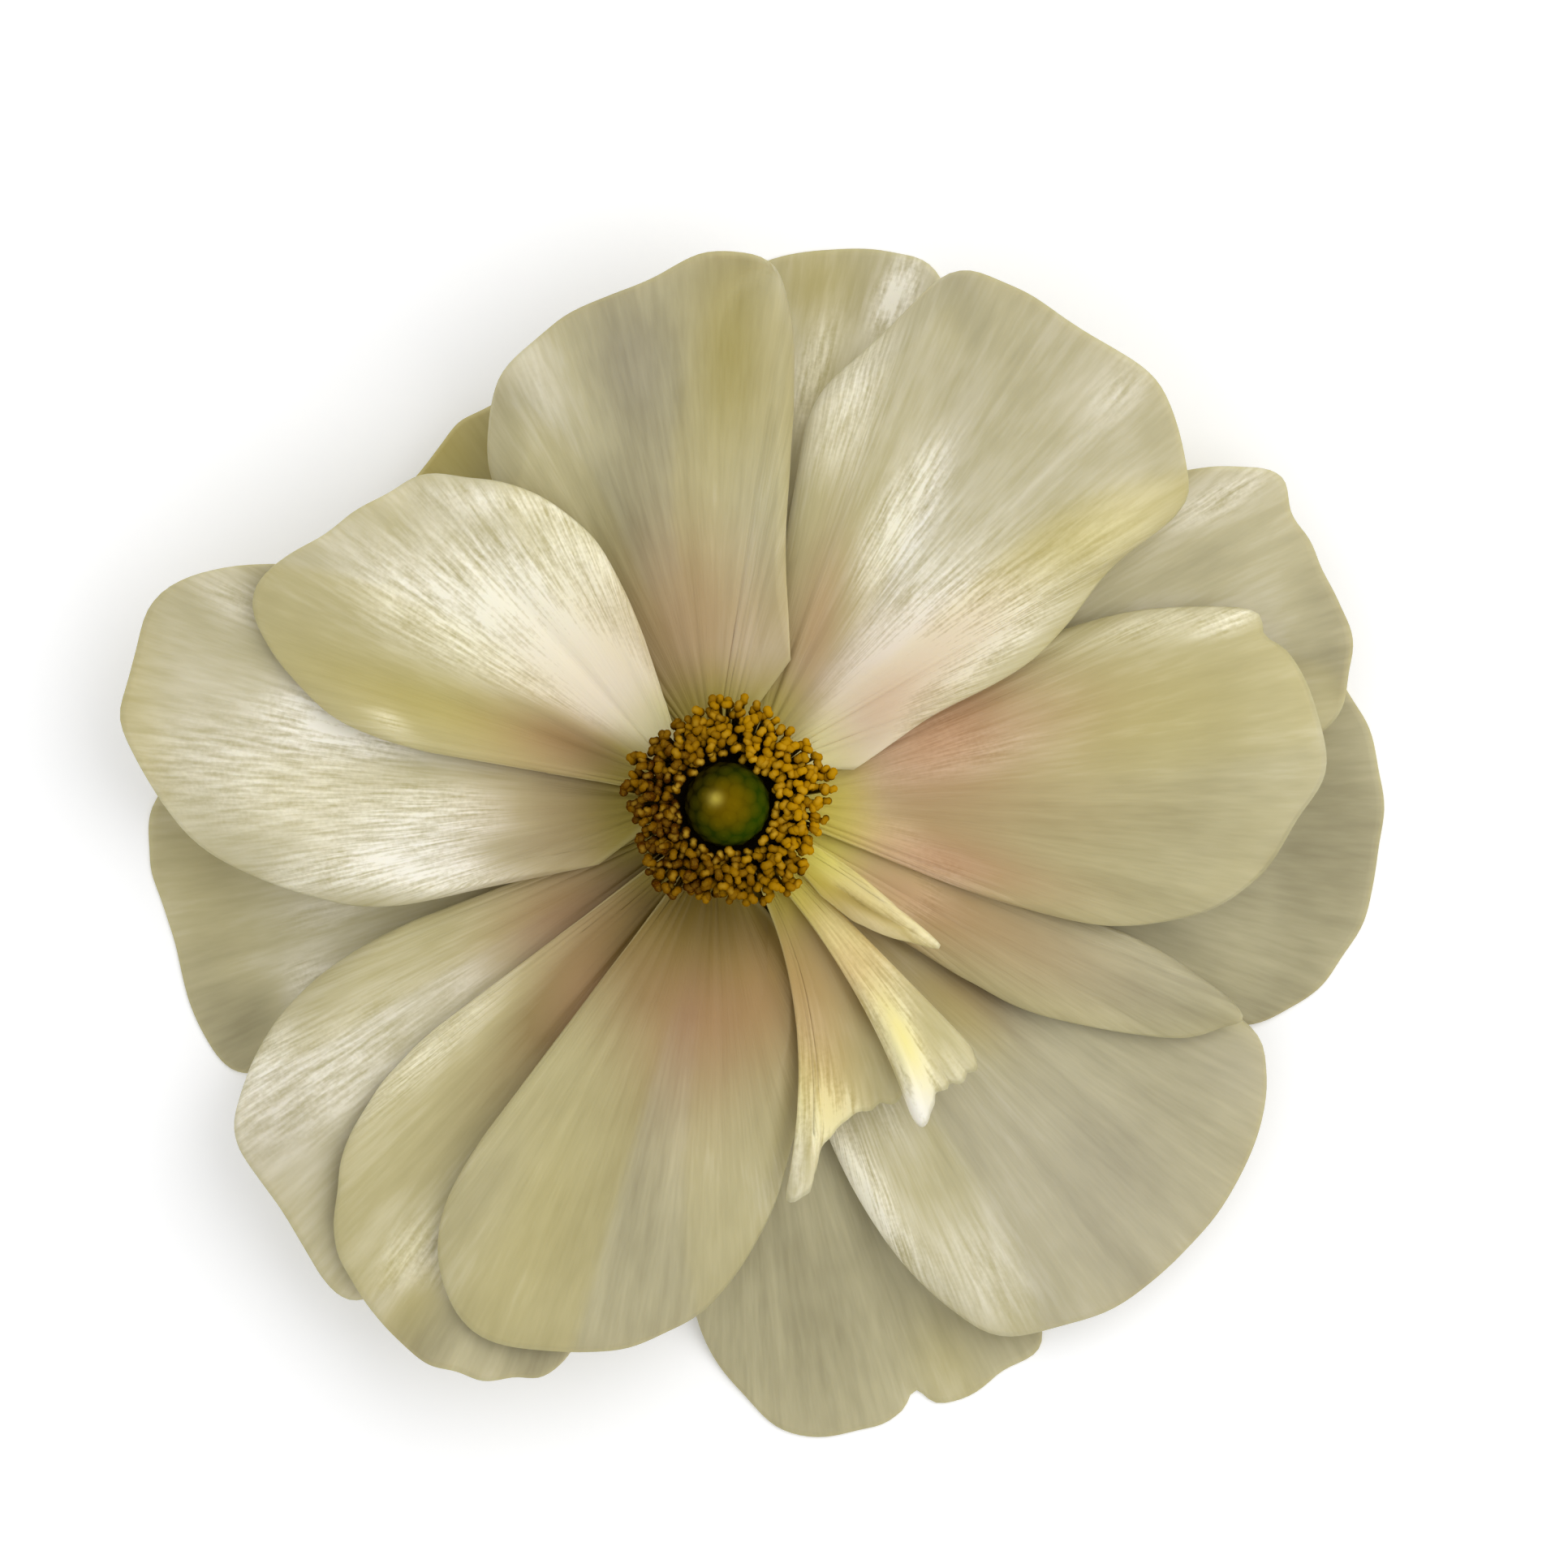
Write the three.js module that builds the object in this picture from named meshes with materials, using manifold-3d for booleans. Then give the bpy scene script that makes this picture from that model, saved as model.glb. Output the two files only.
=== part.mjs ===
// Ranunculus flower head: a satin, half-double bloom, picked with a short stalk and lying face up on its
// own back petals. Millimetres, +Z up. Petals are laid one over another in the order in which they grow.

import * as THREE from "three";
import { mergeVertices } from "three/addons/utils/BufferGeometryUtils.js";
import Module from "manifold-3d";

const wasm = await Module();
wasm.setup();

// Blades: petals, petal-like scraps and sepals
const bladeThickness = 0.62;
const bladeGap = 0.36; // free height over the blade beneath
const overlapSlope = 0.45; // how steeply a blade may climb over the edge of another
const clawSlope = 2; // steeper beside the receptacle, where narrow claws stand close together
const clawZone = 9; // how far from the axis that is
const steepest = 1; // the steepest slope along or across a blade
const overlapReach = 5; // how far from an edge a blade starts to climb over it
const restingDepth = 0.06; // an underside that comes this close to the surface lies flat on it
const outlineSamples = 240; // points read from an outline before the margin is spaced evenly
const liftPasses = 40;
const softenSweeps = 12;
const faceSkirt = 0.15; // how far past its sides, as a share of its size, a face clears the pile
const pileReach = 48; // half the side of the grid of laid heights
const pileStep = 0.3;
const petalCells = [7, 12]; // out from the claw, and across
const scrapCells = [6, 8];

// Receptacle, from its cut stalk up to the neck that carries the carpels
const stalkRadius = 2.1;
const stalkCutHeight = 0.8;
const stalkTop = 3; // where it starts to widen into the calyx's seat
const flareRadius = 3;
const flareHeight = 3.6;
const calyxRadius = 3.4;
const calyxHeight = 4.4;
const receptacleRadius = 4.2;
const receptacleFoot = 5.1;
const receptacleTop = 11.6;
const neckRadius = 2.9;
const neckTop = 12.3;
const roundSides = 24;
const seatGap = 0.3;

// Petal claws stand round the receptacle
const clawRadius = receptacleRadius + seatGap + 0.05;
const clawHalfWidth = 1.15;
const scrapClawHalfWidth = 0.7;

// Sepals
const sepalCount = 5;
const sepalLength = 11.5;
const sepalHalfWidth = 3.2;
const sepalFirstBearing = 32;
const sepalFootRadius = calyxRadius + seatGap + 0.05;
const sepalFootHalfWidth = 1.4;
const sepalHeights = { claw: 3.6, belly: 2.3, rim: 0.9, cup: 0.3, ripple: 0 };
const sepalHalfOutline = [[0.25, 0.8], [0.55, 1], [0.85, 0.65]]; // shares of its length and half its width
const sepalCells = [4, 6];

// Stamens
const stamenCount = 84;
const stamenInnerRadius = 3.7;
const stamenOuterRadius = 6.5;
const antherLength = 1.25;
const antherWidth = 0.8;
const antherHeight = 3.1; // above the collar
const filamentRadius = 0.22;
const filamentTaper = 0.7;
const filamentInset = 0.35; // how far inside the collar's edges they are rooted
const antherSpread = 0.3; // how far anthers stray from their spiral
const antherRise = 0.9; // how much their heights differ
const antherDroop = 1.1; // how far the innermost and outermost stand below the rest
const highestShare = 0.35; // how far out, as a share of the stamens, they stand highest
const collarInner = neckRadius + seatGap;
const collarOuter = 4.5;
const collarHeight = 0.8;

// Carpel head
const carpelRadius = 2.75;
const carpelHeight = 4.2;
const carpelCount = 46;
const carpelRelief = 0.32;
const carpelFootHeight = 0.9; // up to where the head is widest
const carpelFootRadius = 2.37;
const carpelFullness = 0.12; // how much rounder than an ellipse the head's flank is
const carpelTipWidth = 0.012; // of one carpel's point, as 1 - cos of the angle it takes up
const carpelHollow = 0.35; // how far between the points the head sinks, as a share of their relief
const carpelRings = 14;
const carpelSides = 36;

const goldenAngle = Math.PI * (3 - Math.sqrt(5));

// Colours
const stalkGreen = 0x8a9a4e;
const sepalGreen = 0x7f9450;
const petalCream = 0xd6cba6;
const antherGold = 0xb98a2c;
const carpelGreen = 0x8c9a3c;

// Petals from the lowest to the uppermost. bearing is the direction in which a petal grows, in degrees
// counter-clockwise from +X. claw, belly and rim are heights of the blade above the surface that the flower
// lies on, at its foot, its middle and its margin. cup is how far the sides stand above the keel, folds are
// [place across, width, height] of ridges and, below zero, valleys that run out from the claw. bow is how far
// a blade bends to its left and waist how far its sides draw in, at the middle of its length. The outline is
// the margin seen from above, from the flower's axis, with each petal's right-hand side first.
const petals = [
  { name: "petal_bottom_back", bearing: -79, claw: 5.1, belly: 5, rim: -3.4, cup: 0.4, ripple: 0.3,
    folds: [[0.25, 0.12, -0.7]],
    outline: [[-1.5, -12], [-2.8, -24], [-1.8, -33], [1.6, -38.1], [4.6, -39.9], [9, -39.8], [11, -38.4],
      [11.9, -37.2], [13.6, -38.2], [17, -36.4], [19.9, -33.6], [17, -26], [9, -14]] },
  { name: "petal_right_back", bearing: -2, claw: 5.1, belly: 5, rim: -3.4, cup: 0.5, ripple: 0.3,
    folds: [[0, 0.3, -0.4]],
    outline: [[15, -7], [25, -12], [31.5, -14], [36, -12.8], [39.4, -9.4], [41.2, -4], [41.5, 1.4],
      [40.2, 6], [37, 9], [29, 8], [18, 4.5]] },
  { name: "petal_left_back", bearing: -169, claw: 5.1, belly: 5, rim: -3.4, cup: 0.4, ripple: 0.3,
    folds: [[0.1, 0.3, -0.5]],
    outline: [[-14, 1.8], [-26, 3], [-33.5, 2.6], [-36.4, 0], [-36.8, -3.6], [-35.6, -7], [-34, -12.6],
      [-31.2, -17], [-26, -15.5], [-17, -9.5]] },
  { name: "petal_top_back", bearing: 79, claw: 5.1, belly: 5, rim: -3.4, cup: 0.4, ripple: 0.4,
    folds: [[0.3, 0.15, -0.5]],
    outline: [[9, 12], [13.2, 21], [15, 28.5], [13.4, 33.8], [10.2, 35.1], [6, 35.2], [2.4, 34.4],
      [-0.4, 32.6], [-3, 26], [-3.6, 19], [-2, 11]] },
  { name: "petal_upper_left_back", bearing: 126, claw: 5.1, belly: 5.8, rim: 3.4, cup: 0.4, ripple: 0.2,
    folds: [],
    outline: [[-4.5, 12], [-8.5, 21], [-13, 25.2], [-16.5, 24.4], [-19.6, 20.9], [-22, 16.5],
      [-20, 11.5], [-12, 7]] },
  { name: "petal_lower_right_back", bearing: -43, claw: 5.6, belly: 6.4, rim: 4.2, cup: 0.8, ripple: 0.6,
    folds: [[-0.6, 0.2, 1.2], [0.1, 0.3, -0.8]],
    outline: [[4.2, -12], [6.4, -20], [10.2, -27.2], [14.4, -32], [18.4, -33.9], [25, -31.4],
      [30.5, -26.8], [33.2, -21.5], [34, -17], [32.5, -13.6], [25, -9.6], [15, -5]] },
  { name: "petal_upper_right_back", bearing: 23, claw: 5.6, belly: 6.6, rim: 5.4, cup: 0.7, ripple: 0.6,
    folds: [[0.42, 0.13, 1.1], [0.1, 0.2, -0.5]],
    outline: [[18, 2], [30, 2.6], [37.6, 4.6], [39.5, 9], [38.8, 13], [36.3, 17.5], [35, 20.6],
      [32, 21.3], [27, 20.8], [21, 18.6], [13, 11.5]] },
  { name: "petal_lower_right", bearing: -24, claw: 6.6, belly: 7.6, rim: 7.2, cup: 0.8, ripple: 0.2,
    folds: [[0.1, 0.3, -0.8]],
    outline: [[8.5, -7], [13, -9.8], [18, -12.6], [23, -14.1], [28.4, -14.8], [31.4, -14.1],
      [32.5, -13.4], [30.5, -11.4], [26, -8.6], [20, -6.4], [13, -3.8]] },
  { name: "petal_lower_left", bearing: -142, claw: 6.4, belly: 7.4, rim: 6.6, cup: 0.6, ripple: 0.5,
    folds: [[-0.1, 0.16, 0.8], [-0.5, 0.2, -0.6]],
    outline: [[-8, -3.8], [-17, -6.4], [-23, -9], [-28, -13], [-30.8, -18], [-31, -21.6], [-28.4, -25.6],
      [-25.6, -30], [-22.6, -31.2], [-18, -26.5], [-12, -18], [-7, -10]] },
  { name: "petal_right", bearing: 5, claw: 7, belly: 9, rim: 9.8, cup: 1.6, ripple: 0.5,
    folds: [[0.62, 0.16, -1.6], [-0.1, 0.3, -0.5]],
    outline: [[12, -4.2], [18, -6.3], [24, -7.6], [29.5, -6.9], [33.6, -4.8], [36, -1], [38, 2.2],
      [37.4, 6], [35.4, 9.4], [33.8, 10.6], [33, 12.2], [27.5, 12.4], [21.2, 11], [14, 7.4]] },
  { name: "petal_bottom_left", bearing: -121, claw: 7.2, belly: 8.6, rim: 8.6, cup: 0.8, ripple: 0.6,
    folds: [[-0.72, 0.16, 0.9], [0.15, 0.2, -1.3]],
    outline: [[-6.5, -5.8], [-14, -11], [-20.4, -16], [-24, -21.4], [-24.7, -27.6], [-22.8, -31.6],
      [-18.6, -35.4], [-14, -36.4], [-10, -34.8], [-8.4, -28], [-6.6, -20], [-3.4, -11]] },
  { name: "petal_upper_right", bearing: 50, claw: 7.8, belly: 10.2, rim: 11.2, cup: 1.4, ripple: 0.5,
    folds: [[0.12, 0.28, 1.2], [0.68, 0.2, -1.1], [-0.4, 0.25, -0.6]],
    outline: [[8, 2.2], [13, 5.6], [18, 8.3], [21.4, 11.2], [24.5, 15.2], [28.4, 18.4], [29.1, 21],
      [27.2, 26.5], [22.6, 30], [18, 32.6], [14.2, 33.6], [10.4, 30.2], [5.4, 25], [4.4, 18],
      [3.6, 11]] },
  { name: "petal_left", bearing: 173, claw: 7.6, belly: 10, rim: 9.2, cup: 0.9, ripple: 0.5,
    folds: [[0.55, 0.25, 1], [0, 0.3, -0.8]],
    outline: [[-8, 6], [-17, 11.5], [-26, 15], [-32.5, 14.7], [-36.6, 12.4], [-38, 7.6], [-38.3, 4.6],
      [-35.8, 0], [-32.6, -3.2], [-27, -5.6], [-21.5, -6.4], [-15, -5.2], [-8, -3.7]] },
  { name: "petal_top", bearing: 102, claw: 8.4, belly: 10.6, rim: 12, cup: 1.4, ripple: 0.6,
    folds: [[-0.3, 0.25, -0.9], [0.3, 0.2, 0.7], [-1, 0.35, -1.8]],
    outline: [[3.9, 9], [3.7, 16], [3.9, 21.5], [4.2, 26], [4, 30.4], [2.6, 34.3], [-1, 34.8],
      [-6, 32.8], [-11, 30.2], [-14.6, 26.5], [-14.8, 20.5], [-10.5, 13]] },
  { name: "petal_bottom", bearing: -103, claw: 8.2, belly: 10.2, rim: 10.2, cup: 1.4, ripple: 0.5,
    folds: [[0.1, 0.25, -0.9], [0.6, 0.18, 0.6]],
    outline: [[-4.5, -10], [-10, -15], [-14.6, -20], [-17.8, -25.4], [-18, -30], [-15.4, -33.6],
      [-9.5, -34.6], [-3.6, -33.4], [0.4, -29.8], [3.2, -24.6], [4.8, -17], [4.4, -9]] },
  { name: "petaloid_ragged", bearing: -62, claw: 9, belly: 10.8, rim: 12, cup: 0.9, ripple: 0.2,
    folds: [], small: true, bow: 1.2, waist: 0.8,
    outline: [[4.4, -13], [4.1, -20], [3.7, -24.8], [5.1, -24.6], [6, -21.6], [7.8, -19.6], [11, -18.4],
      [11.4, -15], [6.6, -11]] },
  { name: "petal_upper_left", bearing: 150, claw: 8.8, belly: 11.4, rim: 13, cup: 1.6, ripple: 0.4,
    folds: [[-0.35, 0.4, 1.2], [0.5, 0.22, -2.8]],
    outline: [[-4.2, 7.2], [-6.6, 13.6], [-9.6, 18], [-14.5, 20.3], [-19.3, 20.7], [-24, 18.1],
      [-29.4, 14], [-28.9, 10], [-25, 5.6], [-19, 3.4], [-12, 2.5]] },
  { name: "petaloid_folded", bearing: -51, claw: 9.4, belly: 11.8, rim: 13.6, cup: 0.9, ripple: 0.2,
    folds: [[-0.5, 0.25, 0.8]], small: true, bow: 0.5, waist: 0.5,
    outline: [[7, -11.5], [10.6, -17], [11.6, -19.6], [12.5, -20.4], [13.1, -18.6], [14.2, -17.7],
      [15.7, -16.7], [15.4, -15.4], [13.2, -13.4], [9.5, -9.8]] },
  { name: "petaloid_sliver", bearing: -34, claw: 9.2, belly: 11.2, rim: 12.6, cup: 0.9, ripple: 0,
    folds: [], small: true, bow: 0.1,
    outline: [[5.8, -5.7], [7.9, -7.3], [10.6, -8.5], [13.4, -9], [11, -6.8], [8.9, -5], [7.2, -3.7]] },
];

const radians = THREE.MathUtils.degToRad;

// What has been laid so far, as the height of its upper side over a grid of places
class Pile {
  constructor(reach, step) {
    this.reach = reach;
    this.step = step;
    this.side = Math.round((2 * reach) / step) + 1;
    this.top = new Float64Array(this.side * this.side).fill(-reach);
  }

  column(place) {
    return (place + this.reach) / this.step;
  }

  // The highest of the four grid places round a point
  heightAt(x, y) {
    const cell = Math.floor(this.column(y)) * this.side + Math.floor(this.column(x));
    return Math.max(this.top[cell], this.top[cell + 1], this.top[cell + this.side],
      this.top[cell + this.side + 1]);
  }

  // Calls visit with each grid place that a triangle covers, and the triangle's height there. skirt is how
  // far past its sides, as a share of its size, the triangle is taken to go on.
  eachPlace([a, b, c], skirt, visit) {
    const area = (b.x - a.x) * (c.y - a.y) - (c.x - a.x) * (b.y - a.y);
    if (area === 0) return;
    const [lowX, highX] = [Math.min(a.x, b.x, c.x), Math.max(a.x, b.x, c.x)];
    const [lowY, highY] = [Math.min(a.y, b.y, c.y), Math.max(a.y, b.y, c.y)];
    for (let j = Math.floor(this.column(lowY)); j <= this.column(highY) + 1; j += 1) {
      for (let i = Math.floor(this.column(lowX)); i <= this.column(highX) + 1; i += 1) {
        const x = i * this.step - this.reach;
        const y = j * this.step - this.reach;
        const toB = ((x - a.x) * (c.y - a.y) - (c.x - a.x) * (y - a.y)) / area;
        const toC = ((b.x - a.x) * (y - a.y) - (x - a.x) * (b.y - a.y)) / area;
        if (Math.min(toB, toC, 1 - toB - toC) < -skirt) continue;
        visit(j * this.side + i, a.z + toB * (b.z - a.z) + toC * (c.z - a.z));
      }
    }
  }

  lay(triangle) {
    this.eachPlace(triangle, 0, (cell, z) => {
      this.top[cell] = Math.max(this.top[cell], z);
    });
  }

  // How far a triangle would have to rise to lie a gap above the pile
  shortfall(triangle, gap) {
    let short = 0;
    this.eachPlace(triangle, faceSkirt, (cell, z) => {
      short = Math.max(short, this.top[cell] + gap - z);
    });
    return short;
  }

  slopeAt(i, j) {
    const radius = Math.hypot(i * this.step - this.reach, j * this.step - this.reach);
    return THREE.MathUtils.lerp(overlapSlope, clawSlope, Math.exp(-((radius / clawZone) ** 4)));
  }

  // The heights eased outwards, so that whatever lies over an edge climbs it at a gentle slope
  eased(width) {
    const eased = new Pile(this.reach, this.step);
    eased.top.set(this.top);
    for (let pass = 0; pass < width / this.step; pass += 1) {
      const before = eased.top.slice();
      for (let j = 1; j < this.side - 1; j += 1) {
        for (let i = 1; i < this.side - 1; i += 1) {
          const cell = j * this.side + i;
          const beside = Math.max(before[cell - 1], before[cell + 1], before[cell - this.side],
            before[cell + this.side]);
          eased.top[cell] = Math.max(before[cell], beside - this.slopeAt(i, j) * this.step);
        }
      }
    }
    return eased;
  }
}

// The height that a petal would take with nothing under it. u goes from -1 at its right side to 1 at its
// left side, v from 0 at the claw to 1 at the margin, and reach from 0 at the claw to 1 at its farthest tip.
function freeHeight(petal, u, v, reach) {
  const along = petal.claw * (1 - reach) * (1 - 2 * reach) + 4 * petal.belly * reach * (1 - reach)
    + petal.rim * reach * (2 * reach - 1);
  const cup = petal.cup * u * u * reach;
  const ripple = petal.ripple * Math.sin(7 * u + petal.bearing) * v ** 6;
  let folded = 0;
  for (const [place, width, height] of petal.folds) {
    folded += height * reach ** 1.5 * Math.exp(-(((u - place) / width) ** 2));
  }
  return along + cup + ripple + folded;
}

function footPoint(blade, footRadius, footHalfWidth, u) {
  const bearing = radians(blade.bearing) + (u * footHalfWidth) / footRadius;
  return new THREE.Vector2(Math.cos(bearing), Math.sin(bearing)).multiplyScalar(footRadius);
}

// Evenly spaced points of a blade's margin. Its sides run straight from the foot to where they touch the
// outline, so the margin starts and ends there.
function marginPoints(blade, feet, columnCount) {
  const outline = new THREE.SplineCurve(blade.outline.map(([x, y]) => new THREE.Vector2(x, y)));
  const points = outline.getSpacedPoints(outlineSamples);
  const turn = (point, foot) => {
    const away = point.clone().sub(foot).rotateAround(new THREE.Vector2(), -radians(blade.bearing));
    return Math.atan2(away.y, away.x);
  };
  const rightTurns = points.map((point) => turn(point, feet[0]));
  const leftTurns = points.map((point) => turn(point, feet[1]));
  const first = rightTurns.indexOf(Math.min(...rightTurns));
  const last = leftTurns.indexOf(Math.max(...leftTurns));
  return new THREE.SplineCurve(points.slice(first, last + 1)).getSpacedPoints(columnCount);
}

// Points of a blade's middle surface: rows run from the foot to the margin, and each holds the points
// across, from the right side to the left
function bladeRows(blade, footRadius, footHalfWidth, rowCount, columnCount) {
  const foot = (u) => footPoint(blade, footRadius, footHalfWidth, u);
  const margin = marginPoints(blade, [foot(-1), foot(1)], columnCount);
  const across = (column) => (2 * column) / columnCount - 1;
  const lengths = margin.map((point, column) => point.distanceTo(foot(across(column))));
  const longest = Math.max(...lengths);
  const leftward = new THREE.Vector2(0, 1).rotateAround(new THREE.Vector2(), radians(blade.bearing));
  const rows = [];
  for (let row = 0; row <= rowCount; row += 1) {
    const v = row / rowCount;
    rows.push(margin.map((point, column) => {
      const u = across(column);
      const sideways = ((blade.bow ?? 0) - (blade.waist ?? 0) * u) * 4 * v * (1 - v);
      const place = foot(u).lerp(point, v).addScaledVector(leftward, sideways);
      const height = freeHeight(blade, u, v, (v * lengths[column]) / longest);
      return new THREE.Vector3(place.x, place.y, height);
    }));
  }
  return rows;
}

// Lifts a blade clear of what lies under it, first at its points and then wherever a face of its underside
// would still come too low
function layOver(pile, rows) {
  const half = bladeThickness / 2;
  const eased = pile.eased(overlapReach);
  for (const point of rows.flat()) {
    point.z = Math.max(point.z, eased.heightAt(point.x, point.y) + bladeGap + half, half);
  }
  let worst = 1;
  for (let pass = 0; pass < liftPasses && worst > 0.01; pass += 1) {
    worst = 0;
    const corners = faces(rows);
    faces(offsetRows(rows, -half)).forEach((triangle, face) => {
      const short = pile.shortfall(triangle, bladeGap);
      worst = Math.max(worst, short);
      for (const corner of corners[face]) corner.lift = Math.max(corner.lift ?? 0, short);
    });
    for (const point of rows.flat()) {
      point.z += point.lift;
      point.lift = 0;
    }
    soften(rows);
  }
}

// Raises the points beside a high one until no slope between neighbours is too steep
function soften(rows) {
  const raise = (high, low) => {
    const run = Math.hypot(high.x - low.x, high.y - low.y);
    low.z = Math.max(low.z, high.z - steepest * run);
  };
  for (let sweep = 0; sweep < softenSweeps; sweep += 1) {
    rows.forEach((points, row) => points.forEach((point, column) => {
      for (const beside of [points[column + 1], rows[row + 1]?.[column]]) {
        if (!beside) continue;
        raise(point, beside);
        raise(beside, point);
      }
    }));
  }
}

function faces(rows) {
  const triangles = [];
  for (let row = 0; row + 1 < rows.length; row += 1) {
    for (let column = 0; column + 1 < rows[row].length; column += 1) {
      const [near, far] = [rows[row], rows[row + 1]];
      triangles.push([near[column], far[column], far[column + 1]]);
      triangles.push([near[column], far[column + 1], near[column + 1]]);
    }
  }
  return triangles;
}

// The two sides of a blade, half its thickness above and below its middle surface
function offsetRows(rows, distance) {
  return rows.map((points, row) => points.map((point, column) => {
    const outward = new THREE.Vector3().subVectors(
      rows[Math.min(row + 1, rows.length - 1)][column], rows[Math.max(row - 1, 0)][column]);
    const across = new THREE.Vector3().subVectors(
      points[Math.min(column + 1, points.length - 1)], points[Math.max(column - 1, 0)]);
    return outward.cross(across).setLength(distance).add(point);
  }));
}

// The points round a blade's border, counter-clockwise from above
function border(rows) {
  const last = rows.length - 1;
  return [
    ...rows.map((points) => points[0]),
    ...rows[last].slice(1),
    ...rows.slice(0, last).reverse().map((points) => points[points.length - 1]),
    ...rows[0].slice(1, -1).reverse(),
  ];
}

function bladeTriangles(above, below) {
  const triangles = faces(above);
  for (const [a, b, c] of faces(below)) triangles.push([a, c, b]);
  const [upper, lower] = [border(above), border(below)];
  for (let place = 0; place < upper.length; place += 1) {
    const next = (place + 1) % upper.length;
    triangles.push([lower[place], lower[next], upper[next]]);
    triangles.push([lower[place], upper[next], upper[place]]);
  }
  return triangles;
}

function blade(pile, shape, footRadius, footHalfWidth, rowCount, columnCount) {
  const rows = bladeRows(shape, footRadius, footHalfWidth, rowCount, columnCount);
  layOver(pile, rows);
  const above = offsetRows(rows, bladeThickness / 2);
  const below = offsetRows(rows, -bladeThickness / 2);
  for (const point of below.flat()) {
    if (point.z < restingDepth) point.z = 0;
  }
  const triangles = bladeTriangles(above, below);
  for (const triangle of triangles) pile.lay(triangle);
  return mergeVertices(new THREE.BufferGeometry().setFromPoints(triangles.flat()), 1e-5);
}

// A round body about the Z axis, from a profile of [radius, height] that starts and ends on the axis
function turned(profile, sides) {
  const points = profile.map(([radius, height]) => new THREE.Vector2(radius, height));
  const geometry = new THREE.LatheGeometry(points, sides).rotateX(Math.PI / 2);
  return mergedPositions(geometry);
}

function mergedPositions(geometry) {
  geometry.deleteAttribute("normal");
  geometry.deleteAttribute("uv");
  const merged = mergeVertices(geometry, 1e-5);
  const index = merged.getIndex().array;
  const kept = [];
  for (let corner = 0; corner < index.length; corner += 3) {
    const [a, b, c] = index.slice(corner, corner + 3);
    if (a !== b && b !== c && a !== c) kept.push(a, b, c);
  }
  merged.setIndex(kept);
  return merged;
}

function solidOf(geometry) {
  const merged = mergedPositions(geometry);
  return new wasm.Manifold(new wasm.Mesh({
    numProp: 3,
    vertProperties: new Float32Array(merged.getAttribute("position").array),
    triVerts: new Uint32Array(merged.getIndex().array),
  }));
}

function geometryOf(solid) {
  const mesh = solid.getMesh();
  const geometry = new THREE.BufferGeometry();
  geometry.setAttribute("position", new THREE.BufferAttribute(mesh.vertProperties, 3));
  geometry.setIndex(new THREE.BufferAttribute(mesh.triVerts, 1));
  return geometry;
}

// Numbers from 0 to 1 that are the same on every run
function seededNumbers(seed) {
  let state = seed;
  return () => {
    state = (state * 1664525 + 1013904223) % 4294967296;
    return state / 4294967296;
  };
}

function stalkAndReceptacle() {
  return turned([
    [0, stalkCutHeight], [stalkRadius, stalkCutHeight], [stalkRadius, stalkTop], [flareRadius, flareHeight],
    [calyxRadius, calyxHeight], [receptacleRadius, receptacleFoot], [receptacleRadius, receptacleTop],
    [neckRadius, receptacleTop], [neckRadius, neckTop], [0, neckTop],
  ], roundSides);
}

// One reflexed sepal: an oval leaf turned back under the petals
function sepalShape(bearing) {
  const right = sepalHalfOutline.map(([along, across]) => [along, -across]);
  const left = [...sepalHalfOutline].reverse();
  const outline = [...right, [1, 0], ...left].map(([along, across]) => new THREE.Vector2(
    calyxRadius + along * sepalLength, across * sepalHalfWidth)
    .rotateAround(new THREE.Vector2(), radians(bearing)).toArray());
  return { bearing, ...sepalHeights, folds: [], outline };
}

// Between two points, a thin stem that thins towards its end
function filament(start, end) {
  const length = start.distanceTo(end);
  const geometry = new THREE.CylinderGeometry(filamentRadius * filamentTaper, filamentRadius, length, 3);
  const turn = new THREE.Quaternion().setFromUnitVectors(
    new THREE.Vector3(0, 1, 0), end.clone().sub(start).normalize());
  return geometry.applyQuaternion(turn).translate(...start.clone().lerp(end, 0.5).toArray());
}

// Stamens in a spiral round the carpels, each with its filament sunk in the collar
function stamens(floor) {
  const profile = [[collarInner, floor], [collarOuter, floor], [collarOuter, floor + collarHeight],
    [collarInner, floor + collarHeight], [collarInner, floor]];
  let body = solidOf(turned(profile, roundSides));
  const draw = seededNumbers(11);
  for (let count = 0; count < stamenCount; count += 1) {
    const share = (count + 0.5) / stamenCount;
    const area = THREE.MathUtils.lerp(stamenInnerRadius ** 2, stamenOuterRadius ** 2, share);
    const radius = Math.sqrt(area) + antherSpread * (draw() - 0.5);
    const turn = count * goldenAngle;
    const outward = new THREE.Vector3(Math.cos(turn), Math.sin(turn), 0);
    const rooted = THREE.MathUtils.lerp(collarInner + filamentInset, collarOuter - filamentInset, share);
    const foot = outward.clone().multiplyScalar(rooted).setZ(floor + collarHeight / 2);
    const droop = antherDroop * Math.abs(share - highestShare);
    const height = floor + antherHeight + antherRise * draw() - droop;
    const tip = outward.clone().multiplyScalar(radius).setZ(height);
    const lean = new THREE.Quaternion().setFromUnitVectors(
      new THREE.Vector3(0, 0, 1), tip.clone().sub(foot).normalize());
    const anther = new THREE.SphereGeometry(0.5, 5, 3).rotateX(Math.PI / 2)
      .scale(antherWidth, antherWidth, antherLength).applyQuaternion(lean)
      .translate(tip.x, tip.y, tip.z);
    body = body.add(solidOf(filament(foot, tip))).add(solidOf(anther));
  }
  return geometryOf(body);
}

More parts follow.
